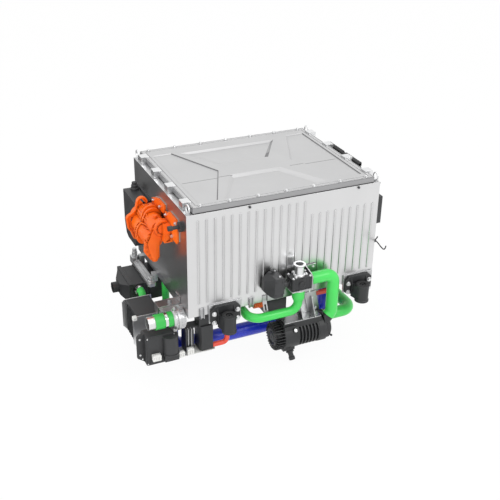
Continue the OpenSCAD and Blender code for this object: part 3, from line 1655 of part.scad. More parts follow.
strap_x = valve_x0 - 103;
clip_x = [left_x + 68, left_x + 321];
module steel_brackets() {
    color(steel)
        placed()
            difference() {
                union() {
                    plate_yz(left_x - 112, left_x)
                        polygon([[front_y + 100, 26], [front_y + 160, 26], [front_y + 160, 31],
                            [front_y + 100, 31]]);
                    block([left_x - 5, front_y + 100, 31 - bite], [left_x, front_y + 160, 62]);
                    plate_yz(left_x - 112, left_x - 107)
                        polygon([[front_y + 108, -8], [front_y + 122, -16], [front_y + 160, -16],
                            [front_y + 160, 31],
                            [front_y + 100, 31]]);
                    rod_z(9, 31 - bite, 46, left_x - 46, front_y + 130);
                    plate_yz(strap_x - 11, strap_x + 11)
                        polygon([[front_y, 36], [front_y - 3, 36], [front_y - 3, 8], [front_y - 28, -46],
                            [front_y - 25, -47.5],
                            [front_y, 7]]);
                    for (x = clip_x)
                        translate([x, front_y, -12])
                            linear_extrude(54)
                                polygon([[-12, 0], [-12, -3], [-10, -12], [-7, -12], [-8, -4], [8, -4],
                                    [7, -12], [10, -12],
                                    [12, -3], [12, 0]]);
                    for (i = [0, 1])
                        block([left_x + 13 + i * 16, front_y + 44, -222],
                            [left_x + 17 + i * 16, front_y + 60, -92]);
                    plate_yz(left_x - pump_gasket_t, left_x)
                        offset(delta = 2)
                            front_foot_outline();
                    plate_yz(left_x - pump_gasket_t, left_x)
                        offset(delta = 2)
                            back_foot_outline();
                }
                for (b = foot_bolts)
                    rod_x(4.3, left_x - 30, left_x + bite, b.x, b.y);
                block([strap_x - 5, front_y - 30, -38], [strap_x + 5, front_y - 6, -10]);
            }
}

module terminal_strip() {
    color("#2A2B2E")
        placed() {
            block([right_x, -160, 488], [right_x + 22, 160, 526]);
            for (i = [0 : 7])
                rod_x(13, right_x + 21, right_x + 32, -140 + i * 40, 507);
        }
}

module side_box() {
    color(dark)
        placed()
            block([right_x, front_y + 16, 298], [right_x + 34, front_y + 130, 442]);
}

enclosure_tub();
enclosure_lid();
lid_gasket();
lid_bolts();
lid_clamps();
lifting_eyes();
cell_pack();
stack_end_plates();
stack_tie_rods();
current_collectors();
cell_monitor();
voltage_converter();
isolator_plates();
isolator_brackets();
isolator_bushings();
isolator_sleeves();
isolator_bolts();
pump_back_housing();
pump_front_housing();
pump_drive_rotor();
pump_driven_rotor();
pump_bolts();
pump_connector();
hydrogen_valve_box();
filter_inlet_cover();
filter_body();
filter_element();
air_duct();
compressor_housing();
compressor_end_cover();
compressor_stator();
compressor_bearings();
compressor_rotor();
compressor_cable_gland();
compressor_bracket();
outlet_hose();
inlet_hose();
hose_clamps();
valve_body();
valve_rotor();
valve_actuator();
valve_top_fitting();
valve_bracket();
lower_hose();
coolant_port_pipe();
coolant_coupling();
coolant_pump_housing();
coolant_pump_impeller();
coolant_pump_controller();
main_coolant_pipe();
small_coolant_pipes();
filter_hose();
coolant_rail();
inverter_box();
inverter_frame();
relay_boxes();
heater_box();
steel_brackets();
terminal_strip();
side_box();
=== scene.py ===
import math

import bmesh
import bpy
from mathutils import Matrix, Vector


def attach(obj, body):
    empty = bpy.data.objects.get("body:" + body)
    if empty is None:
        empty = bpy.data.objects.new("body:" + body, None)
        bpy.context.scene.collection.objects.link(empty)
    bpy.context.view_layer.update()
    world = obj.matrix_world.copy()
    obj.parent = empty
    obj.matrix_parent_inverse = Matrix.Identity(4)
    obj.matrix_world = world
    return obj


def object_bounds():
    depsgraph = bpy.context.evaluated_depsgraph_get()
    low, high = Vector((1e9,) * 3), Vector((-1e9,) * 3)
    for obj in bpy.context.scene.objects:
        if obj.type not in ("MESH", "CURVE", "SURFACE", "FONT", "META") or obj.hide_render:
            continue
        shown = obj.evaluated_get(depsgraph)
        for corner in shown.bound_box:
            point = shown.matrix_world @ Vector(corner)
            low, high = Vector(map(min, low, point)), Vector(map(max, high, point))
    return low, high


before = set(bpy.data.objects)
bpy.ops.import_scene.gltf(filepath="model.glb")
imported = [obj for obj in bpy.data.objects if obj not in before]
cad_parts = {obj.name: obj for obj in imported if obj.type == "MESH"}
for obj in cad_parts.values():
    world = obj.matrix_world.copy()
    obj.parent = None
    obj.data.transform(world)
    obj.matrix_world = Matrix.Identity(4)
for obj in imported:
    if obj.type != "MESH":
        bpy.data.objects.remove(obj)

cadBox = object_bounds()

# All sizes below are in millimetres from the centre of the enclosure's underside.
shiftX = 48  # from there to the middle of the isolators
shiftZ = 84  # and down to the lower ends of their sleeves


def at(x, y, z):
    return Vector(((x - shiftX) / 1000, y / 1000, (z + shiftZ) / 1000))


def linkNew(name, data):
    thing = bpy.data.objects.new(name, data)
    bpy.context.scene.collection.objects.link(thing)
    return thing


cameraSet = {
    "place": (-1649.8, -3503.9, 2132.3),
    "azimuth": -25.055,
    "elevation": 27.96,
    "roll": 1.013,
    "lens": 60.49,
    "film": 36,
    "farthest": 50,
}


def makeCamera(s):
    a = math.radians(s["azimuth"])
    e = math.radians(s["elevation"])
    back = Vector((math.sin(a) * math.cos(e), -math.cos(a) * math.cos(e), math.sin(e)))
    right = (-back).cross(Vector((0, 0, 1))).normalized()
    up = right.cross(-back)
    turn = math.radians(s["roll"])
    sideways = right * math.cos(turn) + up * math.sin(turn)
    upwards = up * math.cos(turn) - right * math.sin(turn)
    data = bpy.data.cameras.new("camera")
    data.lens = s["lens"]
    data.sensor_width = s["film"]
    data.clip_end = s["farthest"]
    cam = linkNew("camera", data)
    m = Matrix((sideways, upwards, back)).transposed().to_4x4()
    m.translation = at(*s["place"])
    cam.matrix_world = m
    bpy.context.scene.camera = cam


makeCamera(cameraSet)
print("camera in place")


def newGroup(name, inputs, outputs):
    group = bpy.data.node_groups.new(name, "ShaderNodeTree")
    for label, value in inputs:
        socket = group.interface.new_socket(name=label, in_out="INPUT", socket_type="NodeSocketFloat")
        socket.default_value = value
    for label, kind in outputs:
        group.interface.new_socket(name=label, in_out="OUTPUT", socket_type=kind)
    return group, group.nodes.new("NodeGroupInput"), group.nodes.new("NodeGroupOutput")


def add(tree, kind, **values):
    node = tree.nodes.new(kind)
    for key, value in values.items():
        setattr(node, key, value)
    return node


def feed(tree, socket, value):
    if isinstance(value, bpy.types.NodeSocket):
        tree.links.new(value, socket)
    else:
        socket.default_value = value


def mathNode(tree, operation, a, b, clamp=False):
    node = add(tree, "ShaderNodeMath", operation=operation, use_clamp=clamp)
    feed(tree, node.inputs[0], a)
    feed(tree, node.inputs[1], b)
    return node.outputs[0]


def normalParts(tree):
    split = add(tree, "ShaderNodeSeparateXYZ")
    tree.links.new(add(tree, "ShaderNodeTexCoord").outputs["Normal"], split.inputs[0])
    return split.outputs


def placeParts(tree):
    split = add(tree, "ShaderNodeSeparateXYZ")
    tree.links.new(add(tree, "ShaderNodeTexCoord").outputs["Object"], split.inputs[0])
    return split.outputs


def noise(tree, scale, detail, stretch=None):
    place = add(tree, "ShaderNodeTexCoord").outputs["Object"]
    if stretch:
        turn = add(tree, "ShaderNodeMapping")
        turn.inputs["Scale"].default_value = stretch
        tree.links.new(place, turn.inputs["Vector"])
        place = turn.outputs["Vector"]
    node = add(tree, "ShaderNodeTexNoise")
    tree.links.new(place, node.inputs["Vector"])
    feed(tree, node.inputs["Scale"], scale)
    node.inputs["Detail"].default_value = detail
    return node.outputs["Fac"]


def mapped(tree, value, fromLow, fromHigh, low, high):
    node = add(tree, "ShaderNodeMapRange")
    for label, number in (("From Min", fromLow), ("From Max", fromHigh), ("To Min", low), ("To Max", high)):
        feed(tree, node.inputs[label], number)
    tree.links.new(value, node.inputs["Value"])
    return node.outputs[0]


def mixColour(tree, mask, a, b):
    node = add(tree, "ShaderNodeMix", data_type="RGBA")
    tree.links.new(mask, node.inputs["Factor"])
    feed(tree, node.inputs[6], a)
    feed(tree, node.inputs[7], b)
    return node.outputs[2]


studioSet = {
    "floorZ": cadBox[0][2] - 0.012,
    "floorReach": 14,
    "floorColour": (0.95, 0.95, 0.95, 1),
    "floorGlow": 0.95,  # how white the floor looks, the rest takes the shadow
    "worldSoft": 0.98,  # soft light on the object from all round
    "aimHeight": 0.3,  # what the lamps look at
    "key": (1.6, -3.2, 3.2, 2.4, 52),  # place, size and power of each lamp
    "top": (-0.4, 0.3, 3.6, 3.4, 20),
    "side": (-3.2, -2.2, 1.2, 1.8, 16),
    "cardLow": (-2.8, -0.25),  # dark card lying left of the object, which only the metal sees
    "cardHigh": (-0.62, 3.0),
    "cardLift": 0.004,
    "cardTone": (0.075, 0.15),
}


def areaLight(name, x, y, z, size, power):
    data = bpy.data.lights.new(name, "AREA")
    data.shape = "DISK"
    data.size = size
    data.energy = power
    lamp = linkNew(name, data)
    lamp.location = (x, y, z)
    aim = Vector((0, 0, studioSet["aimHeight"])) - lamp.location
    lamp.rotation_euler = aim.to_track_quat("-Z", "Y").to_euler()


def emptied(owner):  # the owner's node tree with nothing in it
    owner.use_nodes = True
    owner.node_tree.nodes.clear()
    return owner.node_tree


def backgroundMask(tree):  # one where the camera, gloss or glass sees the surroundings
    rays = add(tree, "ShaderNodeLightPath").outputs
    seen = mathNode(tree, "MAXIMUM", rays["Is Camera Ray"], rays["Is Glossy Ray"])
    return mathNode(tree, "MAXIMUM", seen, rays["Is Transmission Ray"])


def shine(tree, kind, strength):  # plain white light of one strength
    node = add(tree, kind)
    node.inputs["Color"].default_value = (1, 1, 1, 1)
    feed(tree, node.inputs["Strength"], strength)
    return node.outputs[0]


def mixedShader(tree, mask, a, b):
    mix = add(tree, "ShaderNodeMixShader")
    for socket, value in zip(mix.inputs, (mask, a, b)):
        tree.links.new(value, socket)
    return mix.outputs[0]


def makeWorld(s):
    world = bpy.data.worlds.new("studio")
    bpy.context.scene.world = world
    tree = emptied(world)
    soft = shine(tree, "ShaderNodeBackground", s["worldSoft"])
    white = shine(tree, "ShaderNodeBackground", 1)
    out = add(tree, "ShaderNodeOutputWorld")
    tree.links.new(mixedShader(tree, backgroundMask(tree), soft, white), out.inputs["Surface"])


def flatSheet(name, finish, low, high, z):  # a level rectangle between two corners
    bm = bmesh.new()
    bmesh.ops.create_grid(bm, x_segments=1, y_segments=1, size=0.5)
    bmesh.ops.scale(bm, verts=bm.verts, vec=(high[0] - low[0], high[1] - low[1], 1))
    bmesh.ops.translate(bm, verts=bm.verts, vec=((low[0] + high[0]) / 2, (low[1] + high[1]) / 2, z))
    mesh = bpy.data.meshes.new(name)
    bm.to_mesh(mesh)
    bm.free()
    mat = bpy.data.materials.new(finish)
    mesh.materials.append(mat)
    return linkNew(name, mesh), emptied(mat)


def makeFloor(s):
    reach = s["floorReach"]
    floor, tree = flatSheet("floor", "floorWhite", (-reach, -reach), (reach, reach), s["floorZ"])
    paint = add(tree, "ShaderNodeBsdfDiffuse")
    paint.inputs["Color"].default_value = s["floorColour"]
    part = mathNode(tree, "MULTIPLY", backgroundMask(tree), s["floorGlow"])
    mixed = mixedShader(tree, part, paint.outputs[0], shine(tree, "ShaderNodeEmission", 1))
    tree.links.new(mixed, add(tree, "ShaderNodeOutputMaterial").inputs["Surface"])


def makeCard(s):
    low, high = s["cardLow"], s["cardHigh"]
    card, tree = flatSheet("darkCard", "cardGrey", low, high, s["floorZ"] + s["cardLift"])
    shade = mapped(tree, placeParts(tree)["Y"], high[1], 0, *s["cardTone"])
    glow = shine(tree, "ShaderNodeEmission", shade)
    tree.links.new(glow, add(tree, "ShaderNodeOutputMaterial").inputs["Surface"])
    for ray in ("camera", "diffuse", "shadow", "transmission"):
        setattr(card, "visible_" + ray, False)


makeWorld(studioSet)
makeFloor(studioSet)
makeCard(studioSet)
for lampName in ("key", "top", "side"):
    areaLight(lampName + "Light", *studioSet[lampName])
bpy.context.scene.view_settings.view_transform = "Standard"
print("studio lit")


def makeGrain():  # cast or moulded grain as a height, and soft patches as a mask
    group, start, end = newGroup("fineGrain", [("Size", 400), ("Patch", 9)],
                                 [("Height", "NodeSocketFloat"), ("Patches", "NodeSocketFloat")])
    group.links.new(noise(group, start.outputs["Size"], 3), end.inputs["Height"])
    group.links.new(noise(group, start.outputs["Patch"], 4), end.inputs["Patches"])
    return group


def makeBrushed():  # long fine lines of rolled sheet
    group, start, end = newGroup("rolledLines", [("Across", 600)], [("Height", "NodeSocketFloat")])
    group.links.new(noise(group, start.outputs["Across"], 2, (0.02, 0.02, 1)), end.inputs["Height"])
    return group


def makeWear():  # where an edge is rubbed bright, and the normal that rounds it
    group, start, end = newGroup("edgeWear", [("Radius", 0.0015), ("Amount", 0.5)],
                                 [("Rubbed", "NodeSocketFloat"), ("Normal", "NodeSocketVector")])
    soft = add(group, "ShaderNodeBevel", samples=4)
    group.links.new(start.outputs["Radius"], soft.inputs["Radius"])
    flat = add(group, "ShaderNodeNewGeometry")
    angle = add(group, "ShaderNodeVectorMath", operation="DOT_PRODUCT")
    group.links.new(soft.outputs["Normal"], angle.inputs[0])
    group.links.new(flat.outputs["Normal"], angle.inputs[1])
    bend = mathNode(group, "MULTIPLY", mathNode(group, "SUBTRACT", 1, angle.outputs["Value"]), 9)
    broken = mathNode(group, "MULTIPLY", bend, noise(group, 60, 2))
    rubbed = mathNode(group, "MULTIPLY", broken, start.outputs["Amount"], True)
    group.links.new(rubbed, end.inputs["Rubbed"])
    group.links.new(soft.outputs["Normal"], end.inputs["Normal"])
    return group


def makeCreaseShade():  # painted shade that gathers in grooves and round feet
    group, start, end = newGroup("paintedCreaseShade", [("Reach", 0.012), ("Amount", 0.5)],
                                 [("PaintedShade", "NodeSocketFloat")])
    hollow = add(group, "ShaderNodeAmbientOcclusion", samples=6)
    group.links.new(start.outputs["Reach"], hollow.inputs["Distance"])
    shut = mathNode(group, "SUBTRACT", 1, hollow.outputs["AO"])
    uneven = mathNode(group, "ADD", mathNode(group, "MULTIPLY", noise(group, 25, 3), 0.6), 0.7)
    strong = mathNode(group, "MULTIPLY", shut, uneven)
    group.links.new(mathNode(group, "MULTIPLY", strong, start.outputs["Amount"], True), end.inputs["PaintedShade"])
    return group


def makeSmudge():  # faint marks of handling, which change only the gloss
    group, start, end = newGroup("handMarks", [("Size", 14), ("Amount", 0.06)],
                                 [("Dull", "NodeSocketFloat")])
    marks = mapped(group, noise(group, start.outputs["Size"], 6), 0.52, 0.7, 0, 1)
    group.links.new(mathNode(group, "MULTIPLY", marks, start.outputs["Amount"]), end.inputs["Dull"])
    return group


grainGroup = makeGrain()
brushedGroup = makeBrushed()
wearGroup = makeWear()
creaseShadeGroup = makeCreaseShade()
smudgeGroup = makeSmudge()


def useGroup(tree, group, **values):
    node = add(tree, "ShaderNodeGroup", node_tree=group)
    for key, value in values.items():
        node.inputs[key].default_value = value
    return node.outputs


# each finish sets the tone and amount of its painted crease shade
def metal(colour, second, rough, **more):
    return {"colour": colour, "second": second, "rough": rough, "metallic": 1, "grain": 700, "bump": 0.03,
            "rubbed": (0.92, 0.92, 0.92), "wear": 0.35, "dust": (0.16, 0.16, 0.165), "dusty": 0.55, **more}


def coated(colour, second, rough, **more):
    return {"colour": colour, "second": second, "rough": rough, "metallic": 0, "grain": 600, "bump": 0.06,
            "rubbed": second, "wear": 0.3, "dust": (0.02, 0.02, 0.02), "dusty": 0.5, **more}


finishes = {
    "enclosureSheet": metal((0.755, 0.755, 0.758), (0.735, 0.735, 0.738), (0.29, 0.33), rolled=900,
                            bump=0.015, dusty=1.1),
    "lidSheet": metal((0.605, 0.605, 0.608), (0.585, 0.585, 0.588), (0.36, 0.41), rolled=900,
                      bump=0.015, wear=0.5, dusty=1.1),
    "bareCasting": metal((0.70, 0.705, 0.71), (0.61, 0.615, 0.62), (0.34, 0.46), grain=420,
                         bump=0.08, wear=0.4),
    "plateSteel": metal((0.56, 0.565, 0.57), (0.46, 0.465, 0.47), (0.24, 0.38), rolled=700),
    "zinc": metal((0.84, 0.845, 0.85), (0.76, 0.765, 0.77), (0.26, 0.36), bump=0.02),
    "whiteSteel": metal((0.88, 0.885, 0.89), (0.84, 0.845, 0.85), (0.34, 0.42), rolled=500,
                        bump=0.012, dusty=0.4),
    "polished": metal((0.80, 0.80, 0.805), (0.72, 0.72, 0.725), (0.12, 0.2), rolled=500,
                      bump=0.012, dusty=0.4),
    "castBlack": coated((0.016, 0.017, 0.018), (0.026, 0.027, 0.029), (0.40, 0.56), bump=0.16,
                        rubbed=(0.16, 0.16, 0.17), wear=0.4, dust=(0.004, 0.004, 0.005), dusty=0.9),
    "mouldedBlack": coated((0.028, 0.029, 0.031), (0.042, 0.043, 0.045), (0.40, 0.54), grain=900, bump=0.08,
                           rubbed=(0.14, 0.14, 0.145), wear=0.35, dust=(0.010, 0.010, 0.011)),
    "orangePaint": coated((0.98, 0.175, 0.010), (0.90, 0.125, 0.004), (0.30, 0.42), grain=420, bump=0.10,
                          rubbed=(1.0, 0.36, 0.09), wear=0.6, dust=(0.26, 0.022, 0.001), dusty=1.0,
                          sheen=0.3),
    "greenHose": coated((0.060, 0.66, 0.105), (0.048, 0.57, 0.088), (0.28, 0.4), grain=700, bump=0.03,
                        rubbed=(0.16, 0.80, 0.24), wear=0.2, dust=(0.012, 0.16, 0.025), coat=0.1),
    "darkGreenSleeve": coated((0.040, 0.52, 0.080), (0.028, 0.38, 0.058), (0.32, 0.46), grain=700,
                              bump=0.05, rubbed=(0.16, 0.70, 0.22), dust=(0.008, 0.10, 0.018)),
    "blackRubber": coated((0.012, 0.012, 0.013), (0.022, 0.022, 0.023), (0.5, 0.7), bump=0.08,
                          dust=(0.004, 0.004, 0.004)),
    "bluePipe": coated((0.016, 0.040, 0.62), (0.013, 0.032, 0.52), (0.24, 0.36), grain=500, bump=0.02,
                       rubbed=(0.12, 0.16, 0.75), dust=(0.006, 0.010, 0.13), coat=0.2),
    "redPipe": coated((0.84, 0.085, 0.045), (0.72, 0.060, 0.032), (0.26, 0.38), grain=500, bump=0.02,
                      rubbed=(0.95, 0.25, 0.18), dust=(0.18, 0.014, 0.008), coat=0.2),
    "whiteConnector": coated((0.80, 0.80, 0.78), (0.72, 0.72, 0.70), (0.36, 0.5), bump=0.04,
                             dust=(0.22, 0.22, 0.21)),
    "cellPlates": coated((0.06, 0.06, 0.065), (0.10, 0.10, 0.105), (0.4, 0.55)),
    "copperBar": metal((0.90, 0.42, 0.24), (0.72, 0.32, 0.18), (0.24, 0.4), rubbed=(0.95, 0.55, 0.4)),
    "greenBoard": coated((0.03, 0.20, 0.07), (0.02, 0.14, 0.05), (0.3, 0.4), grain=300, coat=0.2),
    "filterPaper": coated((0.78, 0.74, 0.63), (0.68, 0.64, 0.54), (0.7, 0.85), grain=300, bump=0.1),
}


surfaceSet = {  # what every finish shares, in metres where it is a length
    "patchSize": 7,
    "patchBand": (0.3, 0.7),
    "edgeRadius": 0.0012,
    "creaseReach": 0.012,
    "markSize": 11,
    "markDull": 0.03,
    "coatRough": 0.12,
    "reliefDepth": 0.001,
}


def makeFinish(name, s):
    shared = surfaceSet
    mat = bpy.data.materials.new(name)
    mat.use_nodes = True
    tree = mat.node_tree
    shader = tree.nodes["Principled BSDF"]
    shader.inputs["Metallic"].default_value = s["metallic"]
    shader.inputs["Specular IOR Level"].default_value = s.get("sheen", 0.5)
    if s.get("coat"):
        shader.inputs["Coat Weight"].default_value = s["coat"]
        shader.inputs["Coat Roughness"].default_value = shared["coatRough"]
    grain = useGroup(tree, grainGroup, Size=s["grain"], Patch=shared["patchSize"])
    edges = useGroup(tree, wearGroup, Radius=shared["edgeRadius"], Amount=s["wear"])
    crease = useGroup(tree, creaseShadeGroup, Reach=shared["creaseReach"], Amount=s["dusty"])
    marks = useGroup(tree, smudgeGroup, Size=shared["markSize"], Amount=shared["markDull"])
    patchy = mapped(tree, grain["Patches"], *shared["patchBand"], 0, 1)
    base = mixColour(tree, patchy, (*s["colour"], 1), (*s["second"], 1))
    worn = mixColour(tree, edges["Rubbed"], base, (*s["rubbed"], 1))
    # painted shade darkens the colour in creases and round feet
    creaseShaded = mixColour(tree, crease["PaintedShade"], worn, (*s["dust"], 1))
    tree.links.new(creaseShaded, shader.inputs["Base Color"])
    gloss = mapped(tree, grain["Patches"], *shared["patchBand"], *s["rough"])
    tree.links.new(mathNode(tree, "ADD", gloss, marks["Dull"]), shader.inputs["Roughness"])
    height = grain["Height"]
    if s.get("rolled"):
        lines = useGroup(tree, brushedGroup, Across=s["rolled"])
        height = mathNode(tree, "ADD", height, lines["Height"])
    relief = add(tree, "ShaderNodeBump")
    relief.inputs["Strength"].default_value = s["bump"]
    relief.inputs["Distance"].default_value = shared["reliefDepth"]
    tree.links.new(height, relief.inputs["Height"])
    tree.links.new(edges["Normal"], relief.inputs["Normal"])
    tree.links.new(relief.outputs["Normal"], shader.inputs["Normal"])
    return mat


made = {name: makeFinish(name, settings) for name, settings in finishes.items()}


def tintWhere(mat, mask, colour):  # repaints a finish where a mask says
    tree = mat.node_tree
    shader = tree.nodes["Principled BSDF"]
    before = shader.inputs["Base Color"].links[0].from_socket
    tree.links.new(mixColour(tree, mask(tree), before, (*colour, 1)), shader.inputs["Base Color"])


def size(tree, value):  # without its sign
    return mathNode(tree, "ABSOLUTE", value, 0)


def both(tree, a, b, clamp=False):  # where both masks hold, or one of them weaker
    return mathNode(tree, "MULTIPLY", a, b, clamp)


def within(tree, value, low, high):  # one between the two values
    above = mathNode(tree, "GREATER_THAN", value, low)
    return both(tree, above, mathNode(tree, "LESS_THAN", value, high))


lidSet = {
    "top": 0.645,
    "slopes": (0.3, 0.92),  # how steep a pressed slope is; the wide pans' easy slopes stay bright
    "leftShade": 0.85,
    "backShade": 0.62,
    "grooveBand": (0.440, 0.344),  # how far out the grooves lie from the middle
    "grooveDepth": (0.003, 0.0006),
    "grooveShade": 0.8,
    "middlePans": (0.215, 0.12),  # their slopes face the light
    "crossLine": (-0.0914, 0.155, 0.412),  # painted shade along a fine pressed line across each end of the lid
    "crossHalf": 0.0024,
    "crossShade": 0.72,
    "edgeShade": 0.5,
    # colour of the painted shade on the lid's slopes, grooves and pressed lines
    "lidShadeTone": (0.13, 0.13, 0.135),
    # colour of the painted shade on the lid's upright edge
    "edgeShadeTone": (0.22, 0.22, 0.23),
}


def lidEdgeShade(tree):  # painted shade on the upright edge of the lid
    return mapped(tree, size(tree, normalParts(tree)["Z"]), 0.3, 0.1, 0, lidSet["edgeShade"])


def lidPaintedShade(tree):  # painted shade on slopes turned from the light, in the grooves' floors and along the pressed cross lines
    s = lidSet
    n, p = normalParts(tree), placeParts(tree)
    out = size(tree, mathNode(tree, "ADD", p["X"], shiftX / 1000))
    side = size(tree, p["Y"])
    sloped = within(tree, n["Z"], *s["slopes"])
    left = mapped(tree, n["X"], -0.08, -0.3, 0, s["leftShade"])
    back = mapped(tree, n["Y"], 0.08, 0.3, 0, s["backShade"])
    middlePans = both(tree, mathNode(tree, "LESS_THAN", out, s["middlePans"][0]),
                      mathNode(tree, "GREATER_THAN", side, s["middlePans"][1]))
    leftOnly = both(tree, left, mathNode(tree, "SUBTRACT", 1, middlePans))
    slopes = both(tree, sloped, mathNode(tree, "MAXIMUM", leftOnly, back), True)
    band = mathNode(tree, "MAXIMUM", mathNode(tree, "GREATER_THAN", out, s["grooveBand"][0]),
                    mathNode(tree, "GREATER_THAN", side, s["grooveBand"][1]))
    deep, shallow = s["grooveDepth"]
    low = within(tree, p["Z"], s["top"] - deep, s["top"] - shallow)
    grooves = both(tree, both(tree, band, low), s["grooveShade"])
    y, near, far = s["crossLine"]
    line = both(tree, within(tree, p["Y"], y - s["crossHalf"], y + s["crossHalf"]),
                within(tree, out, near, far))
    cross = both(tree, line, s["crossShade"])
    return mathNode(tree, "MAXIMUM", mathNode(tree, "MAXIMUM", slopes, grooves), cross)


# painted shade on the lid's slopes, grooves and pressed lines
tintWhere(made["lidSheet"], lidPaintedShade, lidSet["lidShadeTone"])
# painted shade on the lid's upright edge
tintWhere(made["lidSheet"], lidEdgeShade, lidSet["edgeShadeTone"])

tubSet = {
    "wallFace": 0.3768,  # beads stand proud of this
    "beadShade": 0.7,
    # colour of the painted shade on the beads' sides
    "beadShadeTone": (0.26, 0.26, 0.265),
    # colour of the painted shade on the end walls
    "endWallShadeTone": (0.50, 0.50, 0.505),
}


def beadShadeSides(tree):  # painted shade on the side of each bead that turns from the light
    proud = mathNode(tree, "GREATER_THAN", size(tree, placeParts(tree)["Y"]), tubSet["wallFace"])
    return both(tree, proud, mapped(tree, normalParts(tree)["X"], 0.1, 0.45, 0, tubSet["beadShade"]))


def endWallShade(tree):  # painted shade on the end walls
    inner = mathNode(tree, "LESS_THAN", size(tree, placeParts(tree)["Y"]), tubSet["wallFace"])
    return both(tree, inner, mapped(tree, size(tree, normalParts(tree)["X"]), 0.8, 0.95, 0, 1))


# painted shade on the side of each bead
tintWhere(made["enclosureSheet"], beadShadeSides, tubSet["beadShadeTone"])
# painted shade on the end walls
tintWhere(made["enclosureSheet"], endWallShade, tubSet["endWallShadeTone"])

heaterSet = {
    "plugX": (-85.1 - shiftX) / 1000,  # the plug is the part of the heater left of this
    "plugTone": (0.80, 0.13, 0.012),
}


def heaterPlug(tree):
    return mathNode(tree, "LESS_THAN", placeParts(tree)["X"], heaterSet["plugX"])


made["heaterCase"] = makeFinish("heaterCase", finishes["mouldedBlack"])
tintWhere(made["heaterCase"], heaterPlug, heaterSet["plugTone"])

nodeFinish = {
    "enclosureSheet": ["enclosure_tub"],
    "lidSheet": ["enclosure_lid"],
    "zinc": ["lid_bolts", "lid_clamps", "lifting_eyes", "isolator_bolts", "pump_bolts",
             "coolant_port_pipe"],
    "whiteSteel": ["valve_top_fitting", "inverter_frame"],
    "plateSteel": ["isolator_plates", "compressor_bracket", "valve_bracket", "steel_brackets",
                   "stack_tie_rods", "compressor_bearings", "pump_drive_rotor", "pump_driven_rotor",
                   "valve_rotor", "compressor_rotor"],
    "bareCasting": ["stack_end_plates", "voltage_converter", "coolant_pump_housing", "coolant_rail"],
    "polished": ["hose_clamps"],
    "castBlack": ["isolator_brackets", "isolator_sleeves", "compressor_housing",
                  "compressor_end_cover", "valve_body", "filter_inlet_cover", "filter_body",
                  "compressor_cable_gland"],
    "mouldedBlack": ["pump_connector", "hydrogen_valve_box", "air_duct", "valve_actuator",
                     "coolant_pump_impeller", "coolant_pump_controller", "inverter_box",
                     "relay_boxes", "terminal_strip", "side_box"],
    "heaterCase": ["heater_box"],
    "orangePaint": ["pump_back_housing", "pump_front_housing"],
    "greenHose": ["outlet_hose", "inlet_hose", "lower_hose", "filter_hose"],
    "darkGreenSleeve": ["coolant_coupling"],
    "blackRubber": ["isolator_bushings", "lid_gasket"],
    "bluePipe": ["main_coolant_pipe"],
    "redPipe": ["small_coolant_pipes"],
    "cellPlates": ["cell_pack"],
    "copperBar": ["current_collectors", "compressor_stator"],
    "greenBoard": ["cell_monitor"],
    "filterPaper": ["filter_element"],
}

for finish, nodeNames in nodeFinish.items():
    for nodeName in nodeNames:
        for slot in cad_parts[nodeName].material_slots:
            slot.material = made[finish]
print("finishes on the CAD nodes")


forward, upward, downward = (0, -1, 0), (0, 0, 1), (0, 0, -1)
rightward, leftward = (1, 0, 0), (-1, 0, 0)


def facing(origin, direction, turn=0):  # a place whose Z looks along the direction
    m = Vector(direction).normalized().to_track_quat("Z", "Y").to_matrix().to_4x4()
    m = m @ Matrix.Rotation(math.radians(turn), 4, "Z")
    m.translation = at(*origin)
    return m


def onCircle(centre, radius, degrees, look, follow=False):  # places round a circle that faces that way
    across, up = [i for i in range(3) if not look[i]]
    places = []
    for a in degrees:
        spot = list(centre)
        spot[across] += radius * math.cos(math.radians(a))
        spot[up] += radius * math.sin(math.radians(a))
        places.append(facing(spot, look, a if follow else 0))
    return places


def evenly(count, start=0):  # so many equal steps round, in degrees
    return [360 * (i + start) / count for i in range(count)]


def bevelTop(bm, width, segments=2):
    top = max(v.co.z for v in bm.verts)
    rim = [e for e in bm.edges if all(abs(v.co.z - top) < 1e-7 for v in e.verts)]
    bmesh.ops.bevel(bm, geom=rim, offset=width, offset_type="OFFSET", affect="EDGES", segments=segments,
                    profile=0.5, material=-1)


def topFace(bm):
    return max(bm.faces, key=lambda f: f.calc_center_median().z)


def socketScrew(wide, high):  # round head with a deep socket, standing on its Z
    bm = bmesh.new()
    r, h = wide / 2000, high / 1000
    bmesh.ops.create_cone(bm, cap_ends=True, segments=20, radius1=r, radius2=r, depth=h)
    bmesh.ops.translate(bm, verts=bm.verts, vec=(0, 0, h / 2))
    bevelTop(bm, r * 0.16)
    bmesh.ops.inset_region(bm, faces=[topFace(bm)], thickness=r * 0.38, depth=0)
    bmesh.ops.inset_region(bm, faces=[topFace(bm)], thickness=r * 0.04, depth=-h * 0.6)
    return bm


def hexScrew(wide, high):  # hexagon head on a washer
    bm = bmesh.new()
    r, h = wide / 2000, high / 1000
    bmesh.ops.create_cone(bm, cap_ends=True, segments=6, radius1=r, radius2=r, depth=h)
    bmesh.ops.translate(bm, verts=bm.verts, vec=(0, 0, h / 2))
    bevelTop(bm, r * 0.14)
    washer = bmesh.ops.create_cone(bm, cap_ends=True, segments=24, radius1=r * 1.3, radius2=r * 1.22,
                                   depth=h * 0.28)
    bmesh.ops.translate(bm, verts=washer["verts"], vec=(0, 0, h * 0.14))
    return bm


